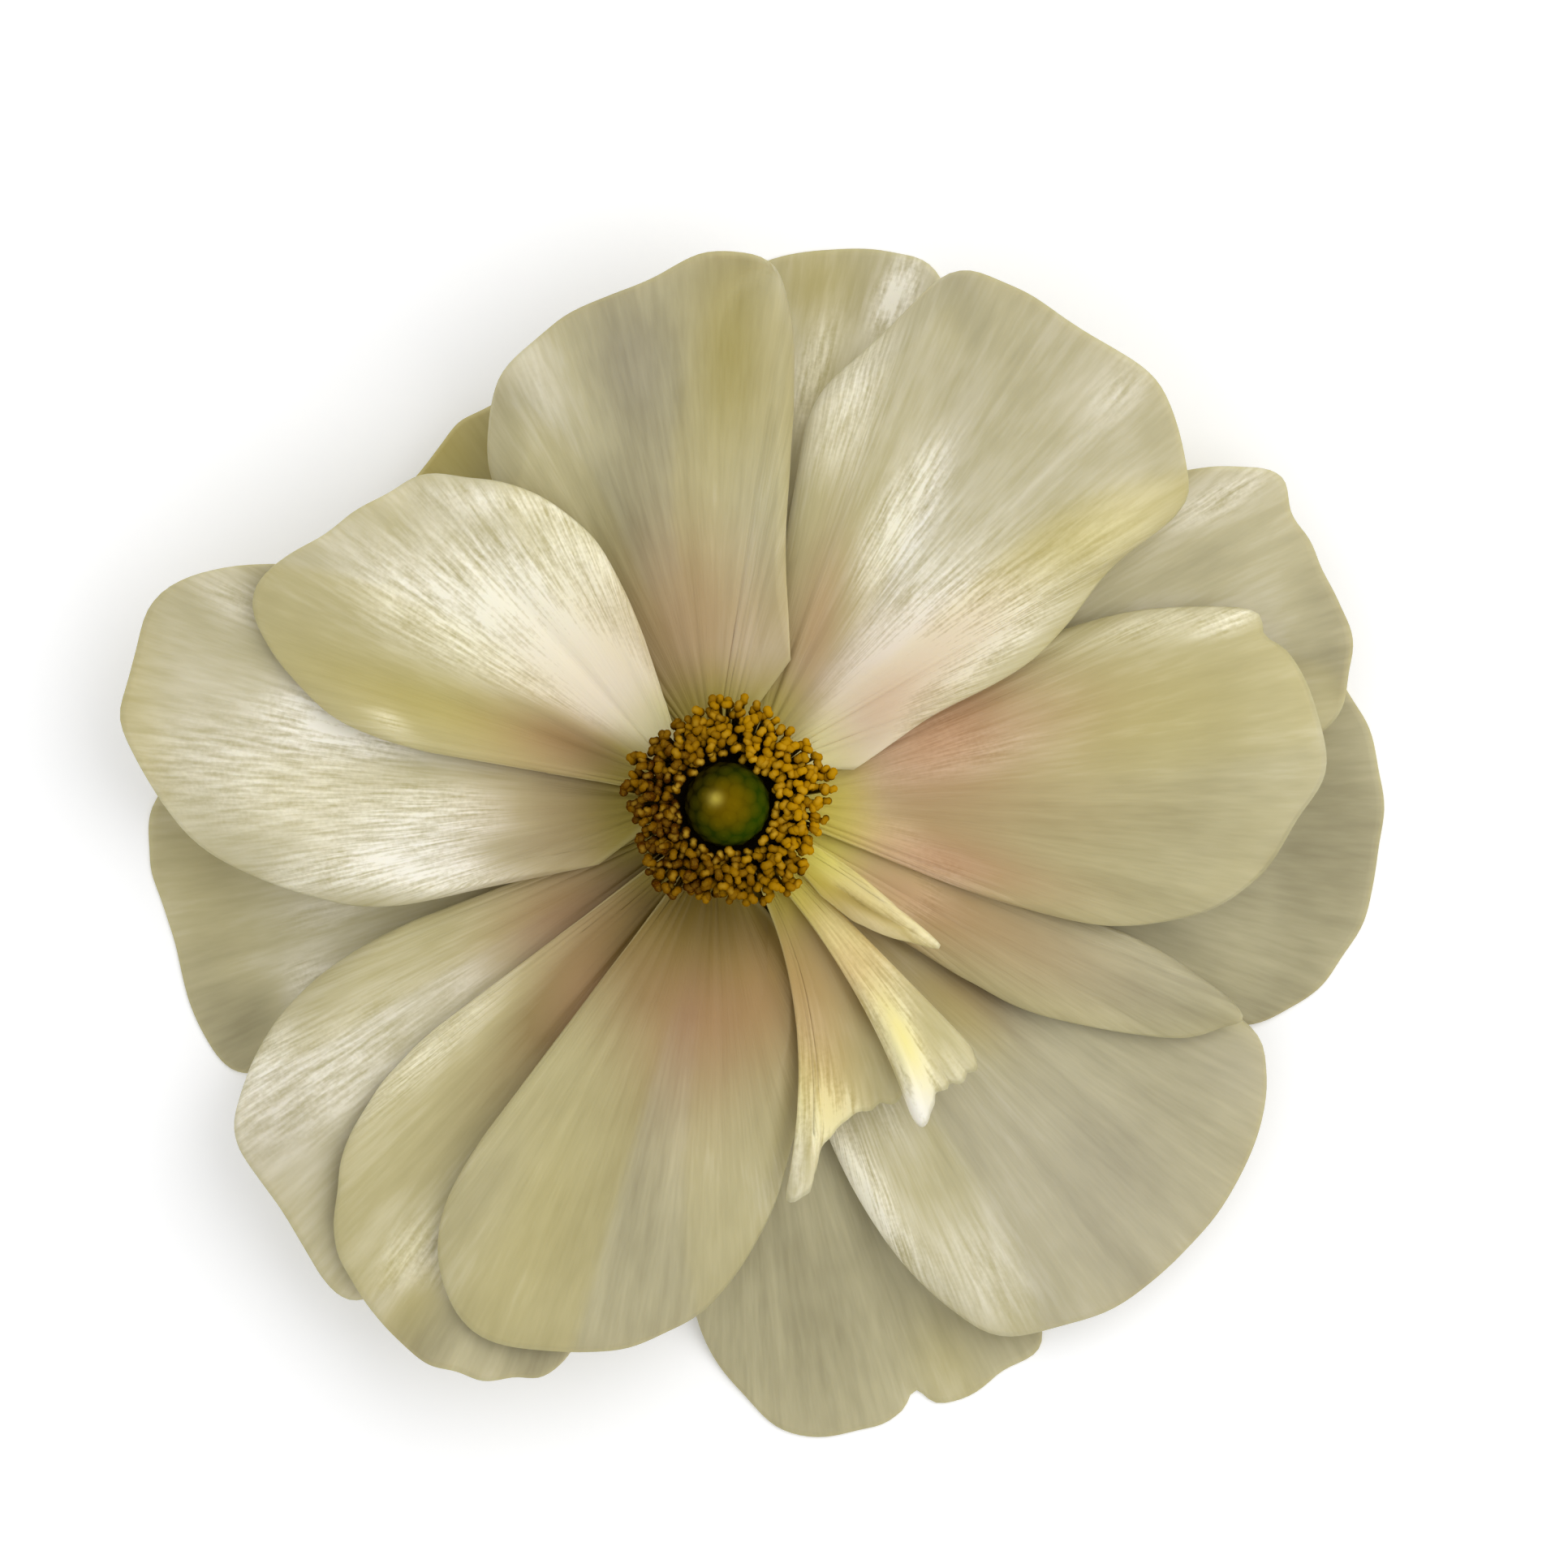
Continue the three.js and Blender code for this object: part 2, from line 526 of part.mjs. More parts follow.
// The dome of carpels, with one low point for each in a spiral from the top down
function carpelHead(floor) {
  const profile = [[0, floor], [carpelFootRadius, floor]];
  for (let ring = 0; ring <= carpelRings; ring += 1) {
    const rise = (ring / carpelRings) * (Math.PI / 2);
    const fullness = (1 + carpelFullness * Math.sin(2 * rise)) / (1 + carpelFullness / 2);
    profile.push([carpelRadius * Math.cos(rise) * fullness,
      floor + carpelFootHeight + (carpelHeight - carpelFootHeight) * Math.sin(rise)]);
  }
  profile[profile.length - 1][0] = 0;
  const geometry = turned(profile, carpelSides);
  const centre = new THREE.Vector3(0, 0, floor + carpelFootHeight);
  const tips = [];
  for (let count = 0; count < carpelCount; count += 1) {
    const height = 1 - (count + 0.5) / carpelCount;
    const spread = Math.sqrt(1 - height ** 2);
    tips.push(new THREE.Vector3(spread * Math.cos(count * goldenAngle),
      spread * Math.sin(count * goldenAngle), height));
  }
  const position = geometry.getAttribute("position");
  const point = new THREE.Vector3();
  for (let place = 0; place < position.count; place += 1) {
    point.fromBufferAttribute(position, place);
    if (point.z < floor + carpelFootHeight + 0.05) continue;
    const direction = point.clone().sub(centre).normalize();
    const nearest = Math.max(...tips.map((tip) => tip.dot(direction)));
    const raised = carpelRelief * (Math.exp(-(1 - nearest) / carpelTipWidth) - carpelHollow);
    point.addScaledVector(direction, raised);
    position.setXYZ(place, point.x, point.y, point.z);
  }
  return geometry;
}

function piece(name, geometry, colour, roughness) {
  const material = new THREE.MeshStandardMaterial({ color: colour, roughness, metalness: 0 });
  const mesh = new THREE.Mesh(geometry, material);
  mesh.name = name;
  return mesh;
}

const flower = new THREE.Group();
const pile = new Pile(pileReach, pileStep);

flower.add(piece("stalk_and_receptacle", stalkAndReceptacle(), stalkGreen, 0.7));

for (let count = 0; count < sepalCount; count += 1) {
  const shape = sepalShape(sepalFirstBearing + (count * 360) / sepalCount);
  const geometry = blade(pile, shape, sepalFootRadius, sepalFootHalfWidth, ...sepalCells);
  flower.add(piece(`sepal_${count + 1}`, geometry, sepalGreen, 0.65));
}

for (const petal of petals) {
  const halfWidth = petal.small ? scrapClawHalfWidth : clawHalfWidth;
  const geometry = blade(pile, petal, clawRadius, halfWidth, ...(petal.small ? scrapCells : petalCells));
  flower.add(piece(petal.name, geometry, petalCream, 0.45));
}

flower.add(piece("stamens", stamens(receptacleTop + seatGap), antherGold, 0.8));
flower.add(piece("carpel_head", carpelHead(neckTop + seatGap), carpelGreen, 0.5));

// The origin is under the middle of the flower's box, on the surface that it lies on
const box = new THREE.Box3().setFromObject(flower);
const middle = box.getCenter(new THREE.Vector3());
flower.position.set(-middle.x, -middle.y, -box.min.z);

export default flower;
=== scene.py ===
"""A ranunculus flower head, lying face up on its back petals and seen from straight above."""

import math

import bpy
import numpy as np
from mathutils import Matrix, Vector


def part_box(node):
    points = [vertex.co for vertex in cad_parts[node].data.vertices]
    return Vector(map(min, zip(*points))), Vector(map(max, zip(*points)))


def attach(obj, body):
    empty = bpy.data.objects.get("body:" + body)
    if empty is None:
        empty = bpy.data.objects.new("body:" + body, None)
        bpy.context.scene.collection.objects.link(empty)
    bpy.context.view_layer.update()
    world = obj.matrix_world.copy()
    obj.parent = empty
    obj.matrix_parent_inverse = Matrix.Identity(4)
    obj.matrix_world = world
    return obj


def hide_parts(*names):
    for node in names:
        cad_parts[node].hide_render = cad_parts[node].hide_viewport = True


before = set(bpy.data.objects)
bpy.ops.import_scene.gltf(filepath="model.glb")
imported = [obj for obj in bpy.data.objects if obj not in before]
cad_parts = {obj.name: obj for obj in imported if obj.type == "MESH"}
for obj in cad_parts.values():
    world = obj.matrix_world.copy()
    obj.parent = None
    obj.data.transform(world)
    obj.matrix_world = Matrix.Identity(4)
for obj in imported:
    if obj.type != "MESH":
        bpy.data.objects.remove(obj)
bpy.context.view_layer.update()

# The flower lies on a plain pale floor, lit a little from within like a light table, under one broad soft
# lamp on its right and in a pale room. The camera looks straight down on it through a long lens.
FRAME_WIDTH = 0.09908
FRAME_CENTRE = (0.00195, 0.00349)
CAMERA_HEIGHT = 2.0
LOOKED_AT = 0.01
SENSOR_WIDTH = 36
FLOOR_REACH = 2

camera = bpy.data.objects.new("camera", bpy.data.cameras.new("camera"))
camera.location = (*FRAME_CENTRE, CAMERA_HEIGHT + LOOKED_AT)
camera.data.sensor_width = SENSOR_WIDTH
camera.data.lens = SENSOR_WIDTH * CAMERA_HEIGHT / FRAME_WIDTH
bpy.context.collection.objects.link(camera)
bpy.context.scene.camera = camera

floor_mesh = bpy.data.meshes.new("floor")
floor_corners = [(x * FLOOR_REACH, y * FLOOR_REACH, 0) for x, y in ((-1, -1), (1, -1), (1, 1), (-1, 1))]
floor_mesh.from_pydata(floor_corners, [], [(0, 1, 2, 3)])
floor_paint = bpy.data.materials.new("pale_floor")
floor_paint.use_nodes = True
floor_surface = floor_paint.node_tree.nodes["Principled BSDF"]
floor_surface.inputs["Base Color"].default_value = (0.97, 0.97, 0.97, 1)
floor_surface.inputs["Roughness"].default_value = 0.9
floor_surface.inputs["Emission Color"].default_value = (1, 1, 1, 1)
floor_surface.inputs["Emission Strength"].default_value = 0.15
floor_mesh.materials.append(floor_paint)
floor = bpy.data.objects.new("floor", floor_mesh)
bpy.context.collection.objects.link(floor)

lamp = bpy.data.objects.new("lamp", bpy.data.lights.new("lamp", "AREA"))
lamp.data.size = 0.8
lamp.data.energy = 2.3
lamp.data.color = (1, 0.985, 0.95)
lamp.location = (0.42, 0.16, 0.56)
lamp.rotation_euler = lamp.location.to_track_quat("Z", "Y").to_euler()
bpy.context.collection.objects.link(lamp)

room = bpy.data.worlds.new("room")
room.use_nodes = True
room.node_tree.nodes["Background"].inputs["Color"].default_value = (0.97, 0.98, 1, 1)
room.node_tree.nodes["Background"].inputs["Strength"].default_value = 0.8
bpy.context.scene.world = room
bpy.context.scene.view_settings.view_transform = "Standard"


# Receptacle: the short green column that carries every other piece, with the cut stalk grown in one with it.
# The stalk is ribbed and downy, and its cut end is paler and moist.
MM = 0.001
STALK_SIDES = 96
RIBS = 12
RIB_DEPTH = 0.025
RIBBED_HEIGHT = 5


class Socket:
    """An output of a material's nodes; sums and products with it add Math nodes."""

    def __init__(self, paint, output):
        self.paint = paint
        self.output = output

    def maths(self, operation, first, second):
        return self.paint.node("ShaderNodeMath", {"operation": operation}, {0: first, 1: second})

    def __add__(self, other):
        return self.maths("ADD", self, other)

    def __mul__(self, other):
        return self.maths("MULTIPLY", self, other)

    def __sub__(self, other):
        return self.maths("SUBTRACT", self, other)

    def __rsub__(self, other):
        return self.maths("SUBTRACT", other, self)

    __radd__ = __add__
    __rmul__ = __mul__

    def rising(self, low, high):
        """0 below low, 1 above high and smooth between, or falling where low is above high."""
        return self.paint.node("ShaderNodeMapRange", {"interpolation_type": "SMOOTHSTEP"},
                               {"Value": self, "From Min": low, "From Max": high})


class Paint:
    """A material in the making."""

    def __init__(self, name):
        self.material = bpy.data.materials.new(name)
        self.material.use_nodes = True
        self.tree = self.material.node_tree
        self.tree.nodes.clear()

    def node(self, kind, settings, inputs, output=0):
        node = self.tree.nodes.new(kind)
        for name, value in settings.items():
            setattr(node, name, value)
        for name, value in inputs.items():
            if isinstance(value, Socket):
                self.tree.links.new(value.output, node.inputs[name])
            else:
                node.inputs[name].default_value = value
        return Socket(self, node.outputs[output]) if node.outputs else None

    def attribute(self, name):
        return self.node("ShaderNodeAttribute", {"attribute_name": name}, {}, "Vector")

    def parts(self, vector):
        return [self.node("ShaderNodeSeparateXYZ", {}, {"Vector": vector}, axis) for axis in range(3)]

    def vector(self, x, y, z):
        return self.node("ShaderNodeCombineXYZ", {}, {0: x, 1: y, 2: z})

    def place(self):
        return self.node("ShaderNodeNewGeometry", {}, {}, "Position")

    def noise(self, where, scale, detail=2.0):
        return self.node("ShaderNodeTexNoise", {}, {"Vector": where, "Scale": scale, "Detail": detail})

    def mixed(self, share, first, second):
        """A colour between two; 6, 7 and 2 are the places of the node's colour sockets."""
        return self.node("ShaderNodeMix", {"data_type": "RGBA"}, {0: share, 6: first, 7: second}, 2)

    def bumped(self, height, depth):
        return self.node("ShaderNodeBump", {}, {"Height": height, "Distance": depth, "Strength": 1.0})

    def surface(self, **inputs):
        names = {name.replace("_", " "): value for name, value in inputs.items()}
        shader = self.node("ShaderNodeBsdfPrincipled", {}, names)
        self.node("ShaderNodeOutputMaterial", {}, {"Surface": shader})
        return self.material


def colour(red, green, blue):
    """A screen colour, from 0 to 255, as the linear light that a shader takes."""
    return (*(((part / 255 + 0.055) / 1.055) ** 2.4 for part in (red, green, blue)), 1)


def piece_of(name, points, faces, paint, slot, *nodes, **attributes):
    """A piece of the flower, from points in millimetres from its axis, in place of the CAD nodes named."""
    mesh = bpy.data.meshes.new(name)
    mesh.from_pydata((np.asarray(points) * MM + AXIS).tolist(), [], faces)
    mesh.polygons.foreach_set("use_smooth", np.ones(len(mesh.polygons), bool))
    for kind, values in attributes.items():
        made = mesh.attributes.new(kind, "FLOAT_VECTOR", "POINT")
        made.data.foreach_set("vector", np.asarray(values, np.float32).ravel())
    mesh.materials.append(paint)
    mesh.update()
    piece = bpy.data.objects.new(name, mesh)
    bpy.context.collection.objects.link(piece)
    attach(piece, "root")
    if nodes:
        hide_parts(*nodes)
    return piece


def turned(profile, sides):
    """Points and faces of a round body; its outline is pairs of radius and height, from axis to axis."""
    turn = np.linspace(0, 2 * math.pi, sides, endpoint=False)
    rings = [np.stack([radius * np.cos(turn), radius * np.sin(turn), np.full(sides, height)], 1)
             for radius, height in profile[1:-1]]
    points = [[[0, 0, profile[0][1]]], *rings, [[0, 0, profile[-1][1]]]]
    last = 1 + sides * len(rings)
    faces = []
    for side in range(sides):
        beside = (side + 1) % sides
        faces.append((0, 1 + beside, 1 + side))
        faces.append((last, last - sides + side, last - sides + beside))
        for ring in range(len(rings) - 1):
            low = 1 + ring * sides
            faces.append((low + side, low + beside, low + sides + beside, low + sides + side))
    return np.concatenate(points), faces


low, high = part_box("stalk_and_receptacle")
AXIS = np.array([(low.x + high.x) / 2, (low.y + high.y) / 2, 0])

stalk_outline = [(0, 0.8), (1.2, 0.8), (1.9, 0.82), (2.08, 0.95), (2.1, 1.6), (2.1, 2.6), (2.35, 3.2),
                 (2.9, 3.6), (3.25, 4.0), (3.4, 4.4), (3.8, 4.75), (4.1, 5.0), (4.2, 5.4)]
stalk_outline += [(4.2, height) for height in np.linspace(6, 11.2, 9)]
stalk_outline += [(4.12, 11.5), (3.9, 11.6), (3.1, 11.62), (2.9, 11.75), (2.9, 12.2), (2.6, 12.3), (0, 12.3)]
stalk_points, stalk_faces = turned(stalk_outline, STALK_SIDES)
stalk_turn = np.arctan2(stalk_points[:, 1], stalk_points[:, 0])
stalk_ribs = 1 + RIB_DEPTH * np.cos(RIBS * stalk_turn) * (stalk_points[:, 2] < RIBBED_HEIGHT)
stalk_points[:, :2] *= stalk_ribs[:, None]

stalk_paint = Paint("downy_stalk")
across, along, up = stalk_paint.parts(stalk_paint.place())
stalk_fibre = stalk_paint.noise(stalk_paint.vector(across * 9, along * 9, up), 260.0)
stalk_cut = up.rising(0.00095, 0.00082)
stalk_green = stalk_paint.mixed(stalk_fibre.rising(0.3, 0.7), colour(104, 122, 52), colour(158, 168, 92))
stalk_green = stalk_paint.mixed(up.rising(0.0065, 0.0095) * 0.8, stalk_green, colour(150, 134, 58))
stalk_material = stalk_paint.surface(
    Base_Color=stalk_paint.mixed(stalk_cut, stalk_green, colour(196, 204, 150)),
    Roughness=0.62 - 0.3 * stalk_cut,
    Normal=stalk_paint.bumped(stalk_fibre, 0.00006))
piece_of("receptacle", stalk_points, stalk_faces, stalk_material, "stalk", "stalk_and_receptacle")


# Sepals: five soft oval green leaves turned back under the petals, each joined to the foot of the receptacle.
# They are downy, with pale thin edges and a few veins from foot to tip.
SEPALS = 5
SEPAL_BEARING = 32
SEPAL_LENGTH = 11.5
SEPAL_HALF_WIDTH = 3.2
SEPAL_START = 3.4
SEPAL_FOOT = 3.75
SEPAL_FOOT_HALF_WIDTH = 1.4
SEPAL_CORNERS = ((0.25, -0.8), (0.55, -1), (0.85, -0.65), (1, 0), (0.85, 0.65), (0.55, 1), (0.25, 0.8))
SEPAL_CELLS = (32, 36)
SEPAL_SEED = 60
FINE_THICKNESS = 0.3
RIM_THICKNESS = 0.1
RIM_WIDTH = 1.5
GAP = 0.14
PILE_SIDE = 96
STEP = 0.25
NOTHING_LAID = -30.0
OUTLINE_STEPS = 240
EASING_SLOPE = 0.45
EASING_REACH = 5
SETTLING = 0.55
SETTLING_WIDTH = 2.5
SOFTNESS = 0.5
MARGIN_WAVER = 0.2
MARGIN_KNOTS = 20
FLUTE_HEIGHT = 0.11
FLUTE_KNOTS = 26
CLAW_FLUTE_HEIGHT = 0.08
CLAW_FLUTE_KNOTS = 34
FRILL_HEIGHT = 0.3
FRILL_KNOTS = 14
LIGHT_FALL = 9
FAN_STEP = 70


def spaced(points, count):
    """count + 1 points at even distances along a line of points."""
    steps = np.hypot(*np.diff(points, axis=0).T)
    reached = np.concatenate([[0], np.cumsum(steps)])
    wanted = np.linspace(0, reached[-1], count + 1)
    return np.stack([np.interp(wanted, reached, points[:, axis]) for axis in range(2)], 1)


def curve_through(corners, per_corner=24):
    """A smooth line through a few points of an outline."""
    corners = np.array(corners, float)
    padded = np.concatenate([corners[:1], corners, corners[-1:]])
    share = np.linspace(0, 1, per_corner, endpoint=False)[:, None]
    line = []
    for before, start, end, after in zip(padded, padded[1:], padded[2:], padded[3:]):
        leaving, arriving = (end - before) / 2, (after - start) / 2
        line.append(start + leaving * share + (3 * end - 3 * start - 2 * leaving - arriving) * share ** 2
                    + (2 * start - 2 * end + leaving + arriving) * share ** 3)
    return np.concatenate([*line, corners[-1:]])


def wavering(seed, knots, places):
    """A smooth line of seeded ups and downs from -1 to 1, read at places from -1 to 1."""
    heights = np.random.default_rng(seed).uniform(-1, 1, knots + 3)
    at = (np.asarray(places) + 1) / 2 * knots
    cell = np.clip(at.astype(int), 0, knots - 1)
    share = at - cell
    before, start, end, after = (heights[cell + k] for k in range(4))
    return start + share * ((end - before) / 2 + share * (
        before - 2.5 * start + 2 * end - after / 2 + share * ((after - before) / 2 + 1.5 * (start - end))))


class Pile:
    """What has been laid so far, as the height of its upper side over a grid of places."""

    def __init__(self):
        self.side = int(PILE_SIDE / STEP) + 1
        self.top = np.full((self.side, self.side), NOTHING_LAID)

    def cells(self, x, y):
        return (y + PILE_SIDE / 2) / STEP, (x + PILE_SIDE / 2) / STEP

    def lay(self, surface):
        """Takes in a blade's upper surface, read closely enough that no place is missed."""
        rows, columns = surface.shape[:2]
        fine = surface
        for axis, count in ((0, rows), (1, columns)):
            at = np.linspace(0, count - 1, 3 * count)
            low = np.minimum(at.astype(int), count - 2)
            share = (at - low).reshape([-1 if k == axis else 1 for k in range(3)])
            fine = np.take(fine, low, axis) * (1 - share) + np.take(fine, low + 1, axis) * share
        row, column = self.cells(fine[..., 0], fine[..., 1])
        np.maximum.at(self.top, (np.rint(row).astype(int), np.rint(column).astype(int)), fine[..., 2])

    def eased(self, slope, reach):
        """The heights spread outwards at a gentle slope, as far as reach."""
        spread = self.top.copy()
        for _ in range(int(reach / STEP)):
            padded = np.pad(spread, 1, mode="edge")
            for down, right in ((0, 1), (2, 1), (1, 0), (1, 2), (0, 0), (0, 2), (2, 0), (2, 2)):
                fall = slope * STEP * math.hypot(down - 1, right - 1)
                beside = padded[down:down + self.side, right:right + self.side]
                spread = np.maximum(spread, beside - fall)
        return spread

    def read(self, heights, x, y):
        row, column = self.cells(x, y)
        low_row, low_column = row.astype(int), column.astype(int)
        down, right = row - low_row, column - low_column
        return (heights[low_row, low_column] * (1 - down) * (1 - right)
                + heights[low_row + 1, low_column] * down * (1 - right)
                + heights[low_row, low_column + 1] * (1 - down) * right
                + heights[low_row + 1, low_column + 1] * down * right)


def smoothed(heights, reach):
    """Heights averaged over their neighbours within a few cells."""
    weights = np.exp(-np.arange(-3 * reach, 3 * reach + 1) ** 2 / (2 * reach ** 2))
    weights /= weights.sum()
    for axis in range(2):
        heights = np.apply_along_axis(lambda line: np.convolve(np.pad(line, 3 * reach, mode="edge"),
                                                               weights, mode="valid"), axis, heights)
    return heights


def distance_to_line(x, y, corners):
    """How far points are from a line through a few places, and how far along it the nearest spot is."""
    line = curve_through(corners, 8)
    gaps = np.hypot(x[..., None] - line[:, 0], y[..., None] - line[:, 1])
    nearest = gaps.argmin(-1)
    return gaps.min(-1), nearest / (len(line) - 1)


def blade(pile, shape, foot_radius, foot_half_width, rows, columns, seed):
    """The middle surface of a petal or sepal laid over the pile, its fan and how closely it is underlaid.

    The fan is each point's way along the margin, its way out from the foot and its way to the edge. The way
    along the margin starts elsewhere on each blade, so that no two blades have the same streaks.
    """
    bearing = math.radians(shape["bearing"])
    across = np.linspace(-1, 1, columns + 1)
    turn = bearing + across * foot_half_width / foot_radius
    feet = foot_radius * np.stack([np.cos(turn), np.sin(turn)], 1)
    outline = spaced(curve_through(shape["outline"]), OUTLINE_STEPS)

    def turns(foot):
        away = outline - foot
        side = away[:, 1] * math.cos(bearing) - away[:, 0] * math.sin(bearing)
        ahead = away[:, 0] * math.cos(bearing) + away[:, 1] * math.sin(bearing)
        return np.arctan2(side, ahead)

    margin = spaced(outline[turns(feet[0]).argmin():turns(feet[-1]).argmax() + 1], columns)
    lengths = np.hypot(*(margin - feet).T)
    waver = MARGIN_WAVER * wavering(seed, MARGIN_KNOTS, across)
    margin += (margin - feet) / lengths[:, None] * waver[:, None]
    out = np.linspace(0, 1, rows + 1)[:, None]
    sideways = (shape.get("bow", 0) - shape.get("waist", 0) * across) * 4 * out * (1 - out)
    plan = (feet * (1 - out[..., None]) + margin * out[..., None]
            + sideways[..., None] * np.array([-math.sin(bearing), math.cos(bearing)]))
    x, y = plan[..., 0], plan[..., 1]
    reach = out * lengths / lengths.max()
    height = (shape["claw"] * (1 - reach) * (1 - 2 * reach) + 4 * shape["belly"] * reach * (1 - reach)
              + shape["rim"] * reach * (2 * reach - 1) + shape["cup"] * across ** 2 * reach
              + shape["ripple"] * np.sin(7 * across + shape["bearing"]) * out ** 6)
    for place, width, rise in shape.get("folds", ()):
        height = height + rise * reach ** 1.5 * np.exp(-((across - place) / width) ** 2)
    for rise, width, corners in shape.get("creases", ()):
        gap, along = distance_to_line(x, y, corners)
        height = height + rise * np.exp(-(gap / width) ** 2) * np.minimum(1, 4 * along + 0.1)
    flutes = (FLUTE_HEIGHT * wavering(seed + 1, FLUTE_KNOTS, across) * reach
              + CLAW_FLUTE_HEIGHT * wavering(seed + 2, CLAW_FLUTE_KNOTS, across) * (1 - reach))
    frill = FRILL_HEIGHT * wavering(seed + 3, FRILL_KNOTS, across) * out ** 10
    height = height + (flutes + frill) * shape.get("flutes", 1)

    side_gap = (1 - np.abs(across)) * lengths.mean() * 0.5 * out
    margin_gap = (1 - out) * lengths
    edge = np.minimum(side_gap, margin_gap)
    under = smoothed(pile.eased(EASING_SLOPE, EASING_REACH), 2) + GAP + FINE_THICKNESS / 2
    beneath = np.maximum(pile.read(under, x, y), FINE_THICKNESS / 2)
    carried = pile.read(smoothed((pile.top > 0).astype(float), 4), x, y)
    settled = SETTLING * carried * np.exp(-edge / SETTLING_WIDTH) * np.minimum(1, 2 * out)
    height = height - settled * np.maximum(height - beneath, 0)
    height = (height + beneath + np.sqrt((height - beneath) ** 2 + SOFTNESS ** 2)) / 2
    covered = pile.read(smoothed((pile.top > 0).astype(float), 1), x, y)
    depth = height - pile.read(smoothed(np.maximum(pile.top, 0), 1), x, y)
    closeness = np.clip(1.15 - depth / LIGHT_FALL, 0.2, 1)

    steps = np.concatenate([[0], np.cumsum(np.hypot(*np.diff(margin, axis=0).T))])
    fan = np.stack([steps + 0 * out + FAN_STEP * seed, out * lengths, edge], -1)
    return np.stack([x, y, height], -1), fan, covered * closeness


def sheet_of(middle, edge):
    """Points and faces of a thin blade round its middle surface, thinner towards its edge."""
    rows, columns = middle.shape[:2]
    normal = np.cross(np.gradient(middle, axis=0), np.gradient(middle, axis=1))
    normal /= np.linalg.norm(normal, axis=2, keepdims=True)
    half = (RIM_THICKNESS + (FINE_THICKNESS - RIM_THICKNESS) * np.clip(edge / RIM_WIDTH, 0, 1) ** 0.5) / 2
    upper = middle + normal * half[..., None]
    lower = middle - normal * half[..., None]
    lower[..., 2] = np.maximum(lower[..., 2], 0)
    index = np.arange(rows * columns).reshape(rows, columns)
    quads = np.stack([index[:-1, :-1], index[1:, :-1], index[1:, 1:], index[:-1, 1:]], -1).reshape(-1, 4)
    ring = np.concatenate([index[:, 0], index[-1, 1:], index[-2::-1, -1], index[0, -2:0:-1]])
    beside = np.roll(ring, -1)
    size = rows * columns
    walls = np.stack([ring + size, beside + size, beside, ring], 1)
    faces = np.concatenate([quads, quads[:, ::-1] + size, walls]).tolist()
    return upper, np.concatenate([upper.reshape(-1, 3), lower.reshape(-1, 3)]), faces


sepal_paint = Paint("downy_sepal")
sepal_along, sepal_out, sepal_edge = sepal_paint.parts(sepal_paint.attribute("fan"))
sepal_vein = sepal_paint.noise(sepal_paint.vector(sepal_along * 1.4, sepal_out * 0.2, 0.0), 1.0)
sepal_down = sepal_paint.noise(sepal_paint.place(), 5000.0)
sepal_green = sepal_paint.mixed(sepal_vein.rising(0.35, 0.65), colour(112, 132, 62), colour(160, 172, 98))
sepal_material = sepal_paint.surface(
    Base_Color=sepal_paint.mixed(sepal_edge.rising(0.9, 0.1), sepal_green, colour(196, 200, 140)),
    Roughness=0.55 + 0.2 * sepal_down,
    Normal=sepal_paint.bumped(sepal_vein + 0.2 * sepal_down, 0.0001))

pile = Pile()
for number in range(1, SEPALS + 1):
    sepal_bearing = SEPAL_BEARING + (number - 1) * 360 / SEPALS
    sepal_turn = math.radians(sepal_bearing)
    sepal_outline = []
    for ahead, side in SEPAL_CORNERS:
        distance, offset = SEPAL_START + ahead * SEPAL_LENGTH, side * SEPAL_HALF_WIDTH
        sepal_outline.append((distance * math.cos(sepal_turn) - offset * math.sin(sepal_turn),
                              distance * math.sin(sepal_turn) + offset * math.cos(sepal_turn)))
    sepal_shape = dict(bearing=sepal_bearing, claw=3.6, belly=2.3, rim=0.9, cup=0.3, ripple=0, flutes=0.4,
                       outline=sepal_outline, creases=[(-0.25, 0.5, [sepal_outline[3], (0, 0)])])
    middle, fan, _ = blade(pile, sepal_shape, SEPAL_FOOT, SEPAL_FOOT_HALF_WIDTH, *SEPAL_CELLS,
                           SEPAL_SEED + number)
    upper, points, faces = sheet_of(middle, fan[..., 2])
    pile.lay(upper)
    piece_of(f"green_sepal_{number}", points, faces, sepal_material, "sepal", f"sepal_{number}",
             fan=np.tile(fan.reshape(-1, 3), (2, 1)))


# Petals: sixteen broad satin blades in open whorls and three small scraps, each narrowed to a claw on the
# receptacle's side. Living petals are thin and moist, with fine veins that fan out from the claw; where one
# lies on another the light comes back yellower. That yellowing, and highlights and shade, are also painted
# into the petals' colour.
PETAL_CELLS = (72, 104)
SCRAP_CELLS = (40, 48)
PETAL_FOOT = 4.55
PETAL_FOOT_HALF_WIDTH = 1.6
SCRAP_FOOT_HALF_WIDTH = 0.7
UNDERLAID_YELLOW = 0.45
TONES = ("blush", "yellow", "light")
